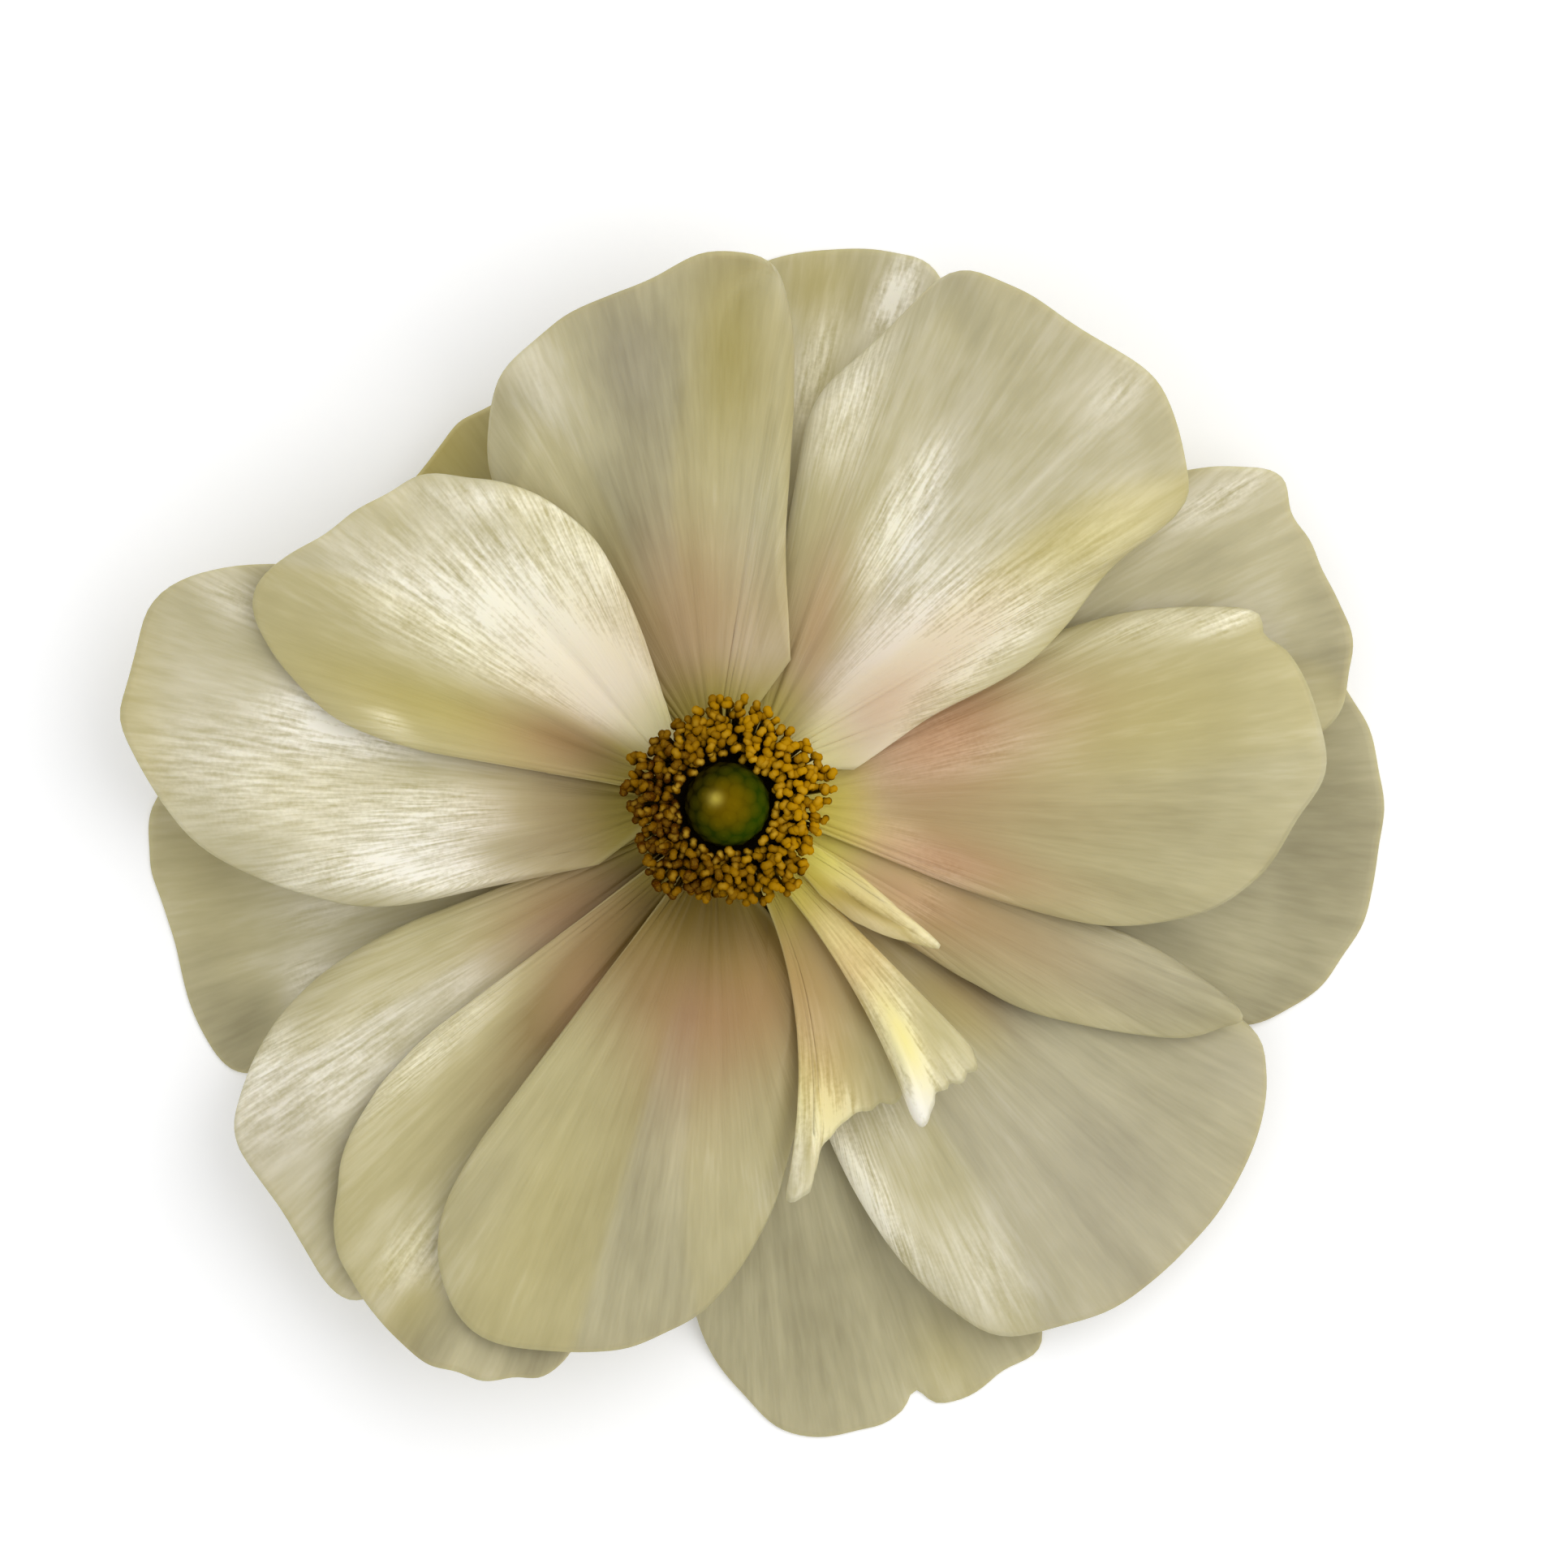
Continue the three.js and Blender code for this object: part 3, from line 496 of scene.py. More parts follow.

# Petals are laid from the lowest to the uppermost, in millimetres from the axis. Each grows at its bearing,
# in degrees from +X. claw, belly and rim are its heights above the floor at its foot, halfway and at its
# margin, cup lifts its sides and ripple waves its margin. bow bends its sides one way, waist draws them
# together, and flutes scales its fine waves. A fold is its place across the blade, from -1 to 1, its width
# and its rise. A crease is its rise, its width and the line that it follows. light, yellow and blush are
# soft spots of tone: strength, x, y, length, width and bearing. The light spots are painted highlights
# where their strength is above zero and painted shade where it is below. The yellow spots are partly the
# petal's own yellower colour and partly painted light that comes back through a petal beneath, and below
# zero they turn it a cooler grey.
PETALS = [
    dict(name="bottom_back", bearing=-79, claw=5.1, belly=5, rim=-3.4, cup=0.4, ripple=0.3,
         folds=[(0.25, 0.12, -0.7)],
         outline=[(-1.5, -12), (-2.8, -24), (-1.8, -33), (1.6, -38.1), (4.6, -39.9), (9, -39.8),
                  (11, -38.4), (11.9, -37.2), (13.6, -38.2), (17, -36.4), (19.9, -33.6), (17, -26),
                  (9, -14)],
         light=[(-0.2, 6, -30, 12, 8, -79), (0.3, 3, -33, 7, 2, -90), (-0.5, 3.5, -33, 6, 3, -85)],
         yellow=[(0.4, 14, -36, 4, 2, -70)]),
    dict(name="right_back", bearing=-2, claw=5.1, belly=5, rim=-3.4, cup=0.5, ripple=0.3,
         folds=[(0, 0.3, -0.4)],
         outline=[(15, -7), (25, -12), (31.5, -14), (36, -12.8), (39.4, -9.4), (41.2, -4), (41.5, 1.4),
                  (40.2, 6), (37, 9), (29, 8), (18, 4.5)],
         light=[(-0.4, 37, -3, 12, 8, 80), (-0.3, 31, -13, 5, 3, -25)]),
    dict(name="left_back", bearing=-169, claw=5.1, belly=5, rim=-3.4, cup=0.4, ripple=0.3,
         folds=[(0.1, 0.3, -0.5)],
         outline=[(-14, 1.8), (-26, 3), (-33.5, 2.6), (-36.4, 0), (-36.8, -3.6), (-35.6, -7), (-34, -12.6),
                  (-31.2, -17), (-26, -15.5), (-17, -9.5)],
         light=[(0.5, -27, -11.6, 4, 2.4, 200), (-0.35, -32, -13.5, 3, 4, 204),
                (0.35, -25.4, -6.6, 4, 1.6, 192), (-0.6, -29.4, -12.8, 3.4, 1.4, 214),
                (0.3, -27, -11.4, 2, 1.6, 200)],
         yellow=[(0.3, -34, -4, 8, 4, 120)]),
    dict(name="top_back", bearing=79, claw=5.1, belly=5, rim=-3.4, cup=0.4, ripple=0.4,
         folds=[(0.3, 0.15, -0.5)],
         outline=[(9, 12), (13.2, 21), (15, 28.5), (13.4, 33.8), (10.2, 35.1), (6, 35.2), (2.4, 34.4),
                  (-0.4, 32.6), (-3, 26), (-3.6, 19), (-2, 11)],
         light=[(-0.2, 7, 26, 4, 2, 70), (0.9, 11, 32.6, 2.2, 1, 60), (0.5, 10.2, 31.6, 4, 1.4, 72),
                (0.7, 5.4, 27, 5, 1.6, 72)],
         yellow=[(0.7, 5.5, 33, 3, 3, 90), (0.5, 5.6, 26, 4, 1.6, 75)]),
    dict(name="upper_left_back", bearing=126, claw=5.1, belly=5.8, rim=3.4, cup=0.4, ripple=0.2,
         outline=[(-4.5, 12), (-8.5, 21), (-13, 25.2), (-16.5, 24.4), (-19.6, 20.9), (-22, 16.5),
                  (-20, 11.5), (-12, 7)],
         light=[(-0.7, -18, 22, 6, 6, 126)],
         yellow=[(1, -18, 22, 6, 6, 126)]),
    dict(name="lower_right_back", bearing=-43, claw=5.6, belly=6.4, rim=4.2, cup=0.8, ripple=0.6,
         folds=[(-0.6, 0.2, 1.2), (0.1, 0.3, -0.8)],
         outline=[(4.2, -12), (6.1, -20.2), (9.8, -27.4), (14.3, -32.1), (18.4, -33.9), (25, -31.4),
                  (30.5, -26.8), (33.2, -21.5), (34, -17), (32.5, -13.6), (25, -9.6), (15, -5)],
         light=[(0.6, 8.2, -23.6, 8, 1.6, -60), (-0.3, 27, -21, 8, 6, -40), (0.4, 16, -29, 6, 4, -60),
                (-0.75, 16, -11.8, 4, 2, -36), (0.3, 11, -9, 2.6, 1.4, -40),
                (0.35, 7.8, -23.4, 4, 1.4, -66), (0.5, 10.4, -20, 3.4, 1.8, -62),
                (-0.3, 25.6, -30, 6, 2, -45), (0.5, 8.4, -25.4, 3, 1.2, -66),
                (0.5, 9.6, -28.4, 3, 1.2, -62), (-0.5, 14.8, -11, 4, 1, -34), (-0.3, 13, -22.5, 4, 3, -60)],
         yellow=[(-0.5, 22, -24, 14, 9, -45), (0.5, 8, -10, 4, 3, -50), (0.5, 15, -13.5, 4, 2, -45),
                 (-0.3, 32.6, -17, 4, 3, -30), (0.5, 13.6, -12.4, 4, 2, -45)],
         blush=[(0.35, 15, -12, 4, 2, -40)]),
    dict(name="upper_right_back", bearing=23, claw=5.6, belly=6.6, rim=5.4, cup=0.7, ripple=0.6,
         folds=[(0.42, 0.13, 1.1), (0.1, 0.2, -0.5)],
         outline=[(18, 2), (30, 2.6), (37.6, 4.6), (39.5, 9), (38.8, 13), (36.3, 17.5), (35, 20.6),
                  (32, 21.3), (27, 20.8), (21, 18.6), (13, 11.5)],
         light=[(0.6, 31, 19.4, 4.5, 1.3, 28), (-0.25, 31, 14.6, 6, 2, 24), (0.3, 34, 12, 5, 4, 60),
                (0.3, 27, 13, 4, 1.5, 24), (-0.4, 37.8, 12.2, 3, 4, 60)]),
    dict(name="lower_right", bearing=-24, claw=6.6, belly=7.6, rim=7.2, cup=0.8, ripple=0.2,
         folds=[(0.1, 0.3, -0.8)],
         outline=[(8.5, -7), (13, -9.8), (18, -12.6), (23, -14.1), (28.4, -14.8), (31.4, -14.1),
                  (32.5, -13.4), (30.5, -11.4), (26, -8.6), (20, -6.4), (13, -3.8)],
         light=[(1.1, 9, -4, 4, 2, -24), (-0.2, 22, -10.5, 10, 3, -24), (-0.45, 30, -13, 4, 2, -24),
                (0.4, 9, -5, 3, 1.4, -30), (-0.4, 15.5, -9.8, 5, 1, -30), (0.6, 8.2, -3.6, 3, 1.6, -24),
                (0.7, 9.4, -4.4, 4, 1.4, -24), (0.5, 10, -5.6, 3.4, 1.2, -30)],
         yellow=[(1.2, 9, -4, 5, 2.5, -24), (-0.6, 26, -11, 8, 4, -22), (0.5, 8.4, -3.4, 3, 2, -24),
                 (0.5, 10, -4.6, 4, 2, -24)],
         blush=[(0.7, 16, -7.4, 8, 3, -24), (0.4, 11, -5.6, 4, 1.6, -28)]),
    dict(name="lower_left", bearing=-142, claw=6.4, belly=7.4, rim=6.6, cup=0.6, ripple=0.5,
         folds=[(-0.1, 0.16, 0.8), (-0.5, 0.2, -0.6)],
         outline=[(-8, -3.8), (-17, -6.4), (-23, -9), (-28, -13), (-30.8, -18), (-31, -21.6),
                  (-28.4, -25.6), (-25.6, -30), (-22.6, -31.2), (-18, -26.5), (-12, -18), (-7, -10)],
         light=[(0.6, -25.5, -17.4, 9, 3.4, -142), (-0.9, -8, -6, 6, 2.4, -144),
                (0.35, -15.4, -10.4, 4, 1.8, -144), (-0.4, -11, -7, 4, 2, -150),
                (0.5, -29.4, -16.4, 3.4, 1.4, -120)],
         yellow=[(-0.35, -28.5, -21, 4, 3, -130)],
         blush=[(0.5, -11, -7.5, 6, 3, -145)]),
    dict(name="right", bearing=5, claw=7, belly=9, rim=9.8, cup=1.6, ripple=0.5,
         folds=[(0.62, 0.16, -1.6), (-0.1, 0.3, -0.5)],
         outline=[(12, -4.2), (18, -6.3), (24, -7.6), (29.5, -6.9), (33.6, -4.8), (36, -1), (38, 2.2),
                  (37.4, 6), (35.4, 9.4), (33.8, 10.6), (33, 12.2), (27.5, 12.4), (21.2, 11), (14, 7.4)],
         light=[(0.2, 8.4, 1.5, 2.6, 3, 0), (0.7, 31.9, 11.6, 2.5, 0.8, 22), (-0.25, 22, -1, 14, 2.5, -2),
                (-0.35, 20, -4.6, 7, 2, -12), (0.8, 12.5, 2.8, 7, 1.8, 12), (0.5, 9.6, -1.6, 3.4, 2, -10),
                (0.5, 27, 11.4, 5, 1.2, 15), (0.8, 13, -4, 4, 1.5, -14), (0.6, 12.4, 5, 3, 1.6, 24),
                (0.5, 8.4, -3, 2.6, 2, -18), (-0.4, 31, -3.4, 5, 3, -20), (0.3, 10.6, -2.4, 3, 1.2, -12)],
         yellow=[(0.75, 8, -1.5, 3, 4, 0), (0.4, 26, 6, 8, 4, 10), (0.4, 9.4, -2.6, 3, 2, -15),
                 (0.4, 10.6, -2.4, 3, 1.4, -12)],
         blush=[(1, 15, 4.6, 8, 3, 14), (0.9, 14.5, -4, 7, 1.8, -14), (0.4, 16, 0, 8, 4, 0),
                (0.4, 15.6, 7, 4, 1.4, 26)]),
    dict(name="bottom_left", bearing=-121, claw=7.2, belly=8.6, rim=8.6, cup=0.8, ripple=0.6,
         folds=[(-0.72, 0.16, 0.9), (0.15, 0.2, -1.3)],
         outline=[(-6.5, -5.8), (-14, -11), (-20.4, -16), (-24, -21.4), (-24.7, -27.6), (-22.8, -31.6),
                  (-18.6, -35.4), (-14, -36.4), (-10, -34.8), (-8.4, -28), (-6.6, -20), (-3.4, -11)],
         light=[(0.6, -18.3, -15.3, 9, 1.4, -138), (-0.5, -13.2, -15, 7, 2, -128),
                (0.5, -20.4, -28.6, 4, 2, -115), (-1.2, -6.6, -9.8, 7, 3.4, -124),
                (-0.6, -8.6, -11.6, 5, 2, -126), (-0.4, -12.2, -13.4, 4, 1.6, -132),
                (0.45, -16.4, -28.4, 5, 2, -120), (-0.5, -7, -10, 5, 2.4, -124),
                (0.3, -17.4, -30, 4, 2, -120), (-0.7, -19, -33, 3.4, 2, -120),
                (-0.5, -12.4, -34.8, 3, 1.6, -110), (-0.4, -7.4, -12.2, 3, 2, -122),
                (-0.6, -7.6, -11.8, 4, 2.2, -124)],
         yellow=[(-0.4, -15, -26, 4, 2, -120), (0.5, -4.4, -8, 3, 3, -120), (0.6, -19.6, -31, 4, 2, -120)],
         blush=[(0.6, -9, -13, 8, 4, -124), (0.3, -8, -14, 5, 2, -120)]),
    dict(name="upper_right", bearing=50, claw=7.8, belly=10.2, rim=11.2, cup=1.4, ripple=0.5,
         folds=[(0.12, 0.28, 1.2), (0.68, 0.2, -1.1), (-0.4, 0.25, -0.6)],
         outline=[(8, 2.2), (13, 5.6), (18, 8.3), (21.4, 11.2), (24.5, 15.2), (28.4, 18.4), (29.1, 21),
                  (27.2, 26.5), (22.6, 30), (18, 32.6), (14.2, 33.6), (10.4, 30.2), (5.4, 25), (4.4, 18),
                  (3.6, 11)],
         light=[(1, 11.2, 18.2, 5.5, 1.8, 62), (0.5, 9.4, 8.3, 5, 1.5, 50), (0.4, 24.8, 26.2, 4, 2, 50),
                (1.3, 12.4, 8.8, 7.5, 2.8, 37), (1.2, 8.2, 3.8, 3, 2.4, 25), (0.35, 12.6, 13.6, 9, 2.4, 48),
                (-0.35, 5, 16, 6, 1.5, 73), (0.6, 7.8, 25.5, 9, 2.4, 72), (0.3, 24, 17, 5, 4, 36),
                (0.4, 17.6, 10.4, 4, 2, 36), (-0.3, 18.8, 9.2, 5, 1, 38), (1.2, 7.6, 3.2, 2.6, 1.6, 24),
                (0.5, 8.6, 6.4, 4, 1.2, 36)],
         yellow=[(0.7, 22.7, 17, 7, 2.2, 25)],
         blush=[(0.45, 15, 11, 4.5, 2.4, 36), (0.5, 9.9, 6.2, 4, 2, 40), (0.5, 5.8, 11.8, 6, 1.4, 78)]),
    dict(name="left", bearing=173, claw=7.6, belly=10, rim=9.2, cup=0.9, ripple=0.5,
         folds=[(0.55, 0.25, 1), (0, 0.3, -0.8)],
         outline=[(-8, 6), (-17, 11.5), (-26, 15), (-32.5, 14.7), (-36.6, 12.4), (-38, 7.6), (-38.3, 4.6),
                  (-35.8, 0), (-32.6, -3.2), (-27, -5.6), (-21.5, -6.4), (-15, -5.2), (-8, -3.7)],
         light=[(1, -18.8, -4.1, 5, 1.5, 178), (0.4, -26, 0, 8, 4, 170), (1.1, -24.4, 5.2, 4, 1.6, 166),
                (-0.75, -9.8, 0, 4.6, 3, 176), (0.75, -17, -0.6, 6, 2, 180), (0.35, -33, 3, 5, 6, 90),
                (0.4, -26, -4.6, 5, 1.6, 190), (0.4, -31, 13, 4, 1.8, 156), (-0.3, -13.6, -3, 4, 1, 190),
                (0.35, -21, 4.6, 3, 1, 166), (0.25, -26, 4, 3, 2, 166)],
         yellow=[(0.5, -37.5, 6, 7, 2, 95), (-0.4, -17, -3, 8, 3, 180), (0.15, -30, -1, 7, 4, 180),
                 (0.4, -8.4, -1.2, 3, 3, 180)]),
    dict(name="top", bearing=102, claw=8.4, belly=10.6, rim=12, cup=1.4, ripple=0.6,
         folds=[(-0.3, 0.25, -0.9), (0.3, 0.2, 0.7), (-1, 0.35, -1.8)],
         outline=[(3.9, 9), (3.7, 16), (3.9, 21.5), (4.2, 26), (4, 30.4), (2.6, 34.3), (-1, 34.8),
                  (-6, 32.8), (-11, 30.2), (-14.6, 26.5), (-14.8, 20.5), (-10.5, 13)],
         light=[(-0.55, -5.5, 20, 14, 4, 103), (0.1, 0.6, 9, 4, 3, 90), (0.25, 0.2, 20, 4, 2, 92),
                (0.4, -11, 26, 6, 3, 115), (-0.8, 0.2, 29, 7, 3.2, 92), (-0.15, -6, 28, 4, 2.6, 100),
                (-0.25, -6, 13, 6, 2.4, 110), (-0.45, -5.2, 10.6, 4, 1.4, 116), (-0.2, -5, 28.4, 3, 2, 100),
                (0.3, 1.2, 9.4, 3, 3, 90)],
         yellow=[(0.75, 0.4, 28, 7.5, 2.9, 94), (-0.35, -6, 28, 4, 2.4, 103), (-0.35, 1.6, 18, 8, 2, 90)],
         blush=[(0.4, -2, 12, 7, 3.4, 97)]),
    dict(name="bottom", bearing=-103, claw=8.2, belly=10.2, rim=10.2, cup=1.4, ripple=0.5,
         folds=[(0.1, 0.25, -0.9), (0.6, 0.18, 0.6)],
         outline=[(-4.5, -10), (-10, -15), (-14.6, -20), (-17.8, -25.4), (-18, -30), (-15.4, -33.6),
                  (-9.5, -34.6), (-3.6, -33.4), (0.4, -29.8), (3.2, -24.6), (4.8, -17), (4.4, -9)],
         light=[(-0.2, -1.4, -13.4, 5, 5, -100), (0.3, -2.4, -23.5, 7, 2, -98),
                (-0.4, -4.6, -19, 20, 7, -103), (-1.2, -1.8, -8.4, 5, 7, -100),
                (-0.35, -3.1, -30, 4, 3, -95), (0.35, 2.4, -24.5, 3, 1.4, -90),
                (-0.4, -2.6, -10.6, 4, 5, -100), (-0.25, 1.4, -12.4, 3.4, 2, -84)],
         yellow=[(0.3, -13, -26, 6, 3, -110), (0.7, 2.2, -10, 5, 2.6, -84), (1.2, 0.4, -8.4, 2.6, 5, -92),
                 (1.2, -1.5, -7.2, 1.6, 5, -100), (-0.3, -14.6, -25, 5, 3, -110),
                 (0.5, 1.6, -8.6, 3, 2, -84)],
         blush=[(0.7, -1.4, -13.4, 7, 4.4, -100), (0.3, 2.6, -12, 5, 2, -84)]),
    dict(name="ragged", bearing=-62, claw=9, belly=10.8, rim=12, cup=0.9, ripple=0.2, small=True,
         bow=1.2, waist=0.8, flutes=0.3,
         outline=[(4.4, -13), (4.1, -20), (3.7, -24.8), (5.1, -24.6), (6, -21.6), (7.8, -19.6), (11, -18.4),
                  (11.4, -15), (6.6, -11)],
         light=[(-0.5, 3.4, -9, 4, 3, -72), (0.5, 5, -15, 4, 2, -72), (0.3, 5, -22.4, 4, 3, -80),
                (0.9, 7.2, -20, 2.6, 1.6, -50), (0.5, 4.2, -17, 9, 0.35, -88),
                (-0.9, 8.8, -12.8, 1.8, 0.8, -58), (0.4, 6.6, -20.4, 2, 1.6, -60)],
         yellow=[(0.5, 6, -20, 5, 3, -62), (0.7, 4.6, -12, 6, 3, -72), (0.6, 3.6, -8.6, 4, 2, -72),
                 (0.5, 6, -17.6, 4, 2.6, -68)],
         blush=[(0.5, 4.6, -12.5, 5, 3, -68), (0.3, 6, -17, 4, 2, -68)]),
    dict(name="upper_left", bearing=150, claw=8.8, belly=11.4, rim=13, cup=1.6, ripple=0.4,
         folds=[(-0.35, 0.4, 1.2), (0.5, 0.22, -2.8)],
         outline=[(-4.2, 7.2), (-6.6, 13.6), (-9.6, 18), (-14.5, 20.3), (-19.3, 20.7), (-24, 18.1),
                  (-29.4, 14), (-28.9, 10), (-25, 5.6), (-19, 3.4), (-12, 2.5)],
         light=[(1.3, -8.6, 8.2, 9, 3.2, 140), (0.5, -15.2, 14.9, 6, 4, 145),
                (-0.45, -15.2, 5.4, 10, 1.7, 162), (0.6, -21.4, 5.3, 1.6, 0.8, 150),
                (0.7, -8.8, 15.4, 5, 2.4, 118), (-0.8, -8.6, 3.2, 4, 1.4, 158),
                (0.35, -19.5, 11, 7, 3, 150), (-0.4, -10.4, 4.6, 3, 1.2, 158), (0.4, -14, 19.2, 6, 1, 175),
                (0.8, -6, 6.6, 4, 1.4, 132), (0.45, -18, 12.6, 8, 2.4, 146), (0.5, -6.2, 7, 3, 1.4, 132),
                (0.4, -7.6, 8.4, 5, 2, 134), (-0.3, -17, 13.6, 5, 3, 145)],
         yellow=[(0.7, -17, 5.6, 10, 2, 160), (-0.3, -8, 4, 5, 2, 160)],
         blush=[(0.5, -10.6, 3.9, 4, 1.5, 165)]),
    dict(name="folded", bearing=-51, claw=9.4, belly=11.8, rim=13.6, cup=0.9, ripple=0.2, small=True,
         bow=0.5, waist=0.5, flutes=0.4, folds=[(-0.5, 0.25, 0.8)],
         creases=[(0.5, 0.4, [(9.8, -13), (11.2, -16.5), (12.3, -20)])],
         outline=[(7, -11.5), (10.6, -17), (11.6, -19.6), (12.5, -20.4), (13.1, -18.6), (14.2, -17.7),
                  (15.7, -16.7), (15.4, -15.4), (13.2, -13.4), (9.5, -9.8)],
         light=[(1.9, 11.2, -15.4, 3.2, 0.8, -66), (1.7, 12.2, -19.3, 1.6, 1.4, -75),
                (0.35, 14.4, -16.6, 1.8, 1.2, -50), (1.1, 7.6, -9, 6, 2, -54),
                (-0.4, 4.6, -7.6, 2, 1.6, -58)],
         yellow=[(0.8, 11.2, -15.2, 3.4, 0.9, -66), (1.1, 7, -8, 6, 3, -54),
                 (-0.3, 12.2, -19.6, 1.4, 1.2, -75), (0.4, 13, -15, 4, 2, -50),
                 (0.5, 6.6, -7.6, 5, 2, -50)],
         blush=[(0.35, 8, -10.4, 2, 2, -54)]),
    dict(name="sliver", bearing=-34, claw=9.2, belly=11.2, rim=12.6, cup=0.9, ripple=0, small=True,
         bow=0.1, flutes=0.4, creases=[(-0.4, 0.3, [(6.6, -5), (9, -6.7), (11.6, -7.9)])],
         outline=[(5.8, -5.7), (7.9, -7.3), (10.6, -8.5), (13.4, -9), (11, -6.8), (8.9, -5), (7.2, -3.7)],
         light=[(1.5, 8.6, -5.4, 4.4, 0.7, -35), (0.8, 6, -3.4, 2, 1.4, -38),
                (0.7, 12.4, -8.2, 1.6, 0.6, -35), (-0.7, 9, -6.7, 3.4, 0.3, -30),
                (0.4, 9.6, -7.6, 2.4, 0.5, -25)],
         yellow=[(1.6, 6.6, -3.9, 3.4, 1.4, -38), (0.6, 12, -8.2, 2.4, 1, -35), (0.6, 9.6, -6.8, 3, 2, -36),
                 (0.5, 6, -5.6, 3, 2, -40)]),
]

petal_paint = Paint("satin_petal")
along, out, edge = petal_paint.parts(petal_paint.attribute("fan"))
blush, yellow, light = petal_paint.parts(petal_paint.attribute("tone"))
fine_streak = petal_paint.noise(petal_paint.vector(along * 2.4, out * 0.36, 0.0), 1.0, 3.0).rising(0.25, 0.75)
broad_streak = petal_paint.noise(petal_paint.vector(along * 0.7, out * 0.06, 4.0), 1.0).rising(0.25, 0.75)
cloud = petal_paint.noise(petal_paint.vector(along * 0.14, out * 0.16, 9.0), 1.0).rising(0.3, 0.7)
# A fine speckle, used only as painted glints in the highlights.
painted_glint = petal_paint.noise(petal_paint.place(), 3600.0, 2.0).rising(0.3, 0.7)
# Painted highlight: where the light spots are strong, the streaks and the glint speckle are painted brighter
# as a sheen.
painted_highlight = light.rising(0.1, 0.8)
veins_and_painted_sheen = (fine_streak - 0.5) * (0.07 + 0.42 * painted_highlight) + 0.1 * (broad_streak - 0.5)
veins_and_painted_sheen = veins_and_painted_sheen + 0.14 * painted_highlight * (painted_glint - 0.5)
veins_and_painted_sheen = veins_and_painted_sheen * (0.25 + 0.75 * out.rising(2.0, 14.0))
# The colour's brightness: painted highlights and painted shade from the light spots, with the streaks and
# soft clouds.
bright = 0.5 + veins_and_painted_sheen + 0.4 * light + 0.08 * (cloud - 0.5)
# A painted shade colour, the petal's cream and a painted pearly highlight, picked by that brightness.
cream = petal_paint.mixed(2 * bright, colour(108, 98, 66), colour(188, 180, 142))
cream = petal_paint.mixed(2 * bright - 1, cream, colour(249, 243, 226))
# Shaded and lit copies of the yellow, picked by the same painted brightness.
yolk = petal_paint.mixed(2 * bright - 1, colour(190, 174, 86), colour(242, 230, 152))
cream = petal_paint.mixed(yellow * 0.6, cream, yolk)
cream = petal_paint.mixed(yellow * -0.6, cream, colour(170, 163, 152))
wash = out.rising(1.5, 4.0) * out.rising(16.0, 6.0)
# Shaded and lit copies of the rose, picked by the same painted brightness.
rose = petal_paint.mixed(2 * bright - 1, colour(178, 136, 94), colour(206, 166, 128))
cream = petal_paint.mixed(blush * 0.7 + wash * 0.3, cream, rose)
claw = petal_paint.mixed(yellow, colour(138, 118, 34), colour(210, 190, 66))
# Painted shade: the claw darker where the light spots are below zero.
claw = petal_paint.mixed(light * -0.7, claw, colour(104, 80, 0))
# Painted highlight: the claw paler where the light spots are above zero.
highlight_claw = petal_paint.mixed(yellow, colour(244, 230, 184), colour(236, 222, 96))
claw = petal_paint.mixed(light * 0.6, claw, highlight_claw)
cream = petal_paint.mixed(out.rising(6.0, 1.5) * 0.85, cream, claw)
# Painted shade near the foot where the light spots are below zero, fading out by 11 mm from the foot.
cream = petal_paint.mixed(light * -0.4 * out.rising(11.0, 3.0), cream, colour(112, 88, 0))
cream = petal_paint.mixed(edge.rising(0.3, 0.05) * 0.2, cream, colour(214, 206, 156))
petal_material = petal_paint.surface(
    Base_Color=cream,
    Roughness=0.46 - 0.2 * veins_and_painted_sheen,
    Normal=petal_paint.bumped(fine_streak * 0.6 + broad_streak, 0.000012),
    Subsurface_Weight=0.2,
    Subsurface_Radius=(1.0, 0.8, 0.4),
    Subsurface_Scale=0.0006,
    Specular_IOR_Level=0.3,
    Sheen_Weight=0.05,
    Sheen_Roughness=0.4)

for number, shape in enumerate(PETALS):
    small = shape.get("small", False)
    half_width = SCRAP_FOOT_HALF_WIDTH if small else PETAL_FOOT_HALF_WIDTH
    cells = SCRAP_CELLS if small else PETAL_CELLS
    middle, fan, underlaid = blade(pile, shape, PETAL_FOOT, half_width, *cells, number)
    upper, points, faces = sheet_of(middle, fan[..., 2])
    pile.lay(upper)
    x, y = middle[..., 0], middle[..., 1]
    tone = np.zeros_like(middle)
    # Painted light: yellower where a petal lies close over another, for the light that comes back through
    # both.
    tone[..., TONES.index("yellow")] = UNDERLAID_YELLOW * underlaid
    for channel, kind in enumerate(TONES):
        for strength, spot_x, spot_y, length, width, degrees in shape.get(kind, ()):
            bearing = math.radians(degrees)
            ahead = (x - spot_x) * math.cos(bearing) + (y - spot_y) * math.sin(bearing)
            aside = (y - spot_y) * math.cos(bearing) - (x - spot_x) * math.sin(bearing)
            tone[..., channel] += strength * np.exp(-(ahead / length) ** 2 - (aside / width) ** 2)
    sort = "petaloid" if small else "petal"
    piece_of(f"{shape['name']}_{sort}", points, faces, petal_material, sort, f"{sort}_{shape['name']}",
             fan=np.tile(fan.reshape(-1, 3), (2, 1)), tone=np.tile(tone.reshape(-1, 3), (2, 1)))


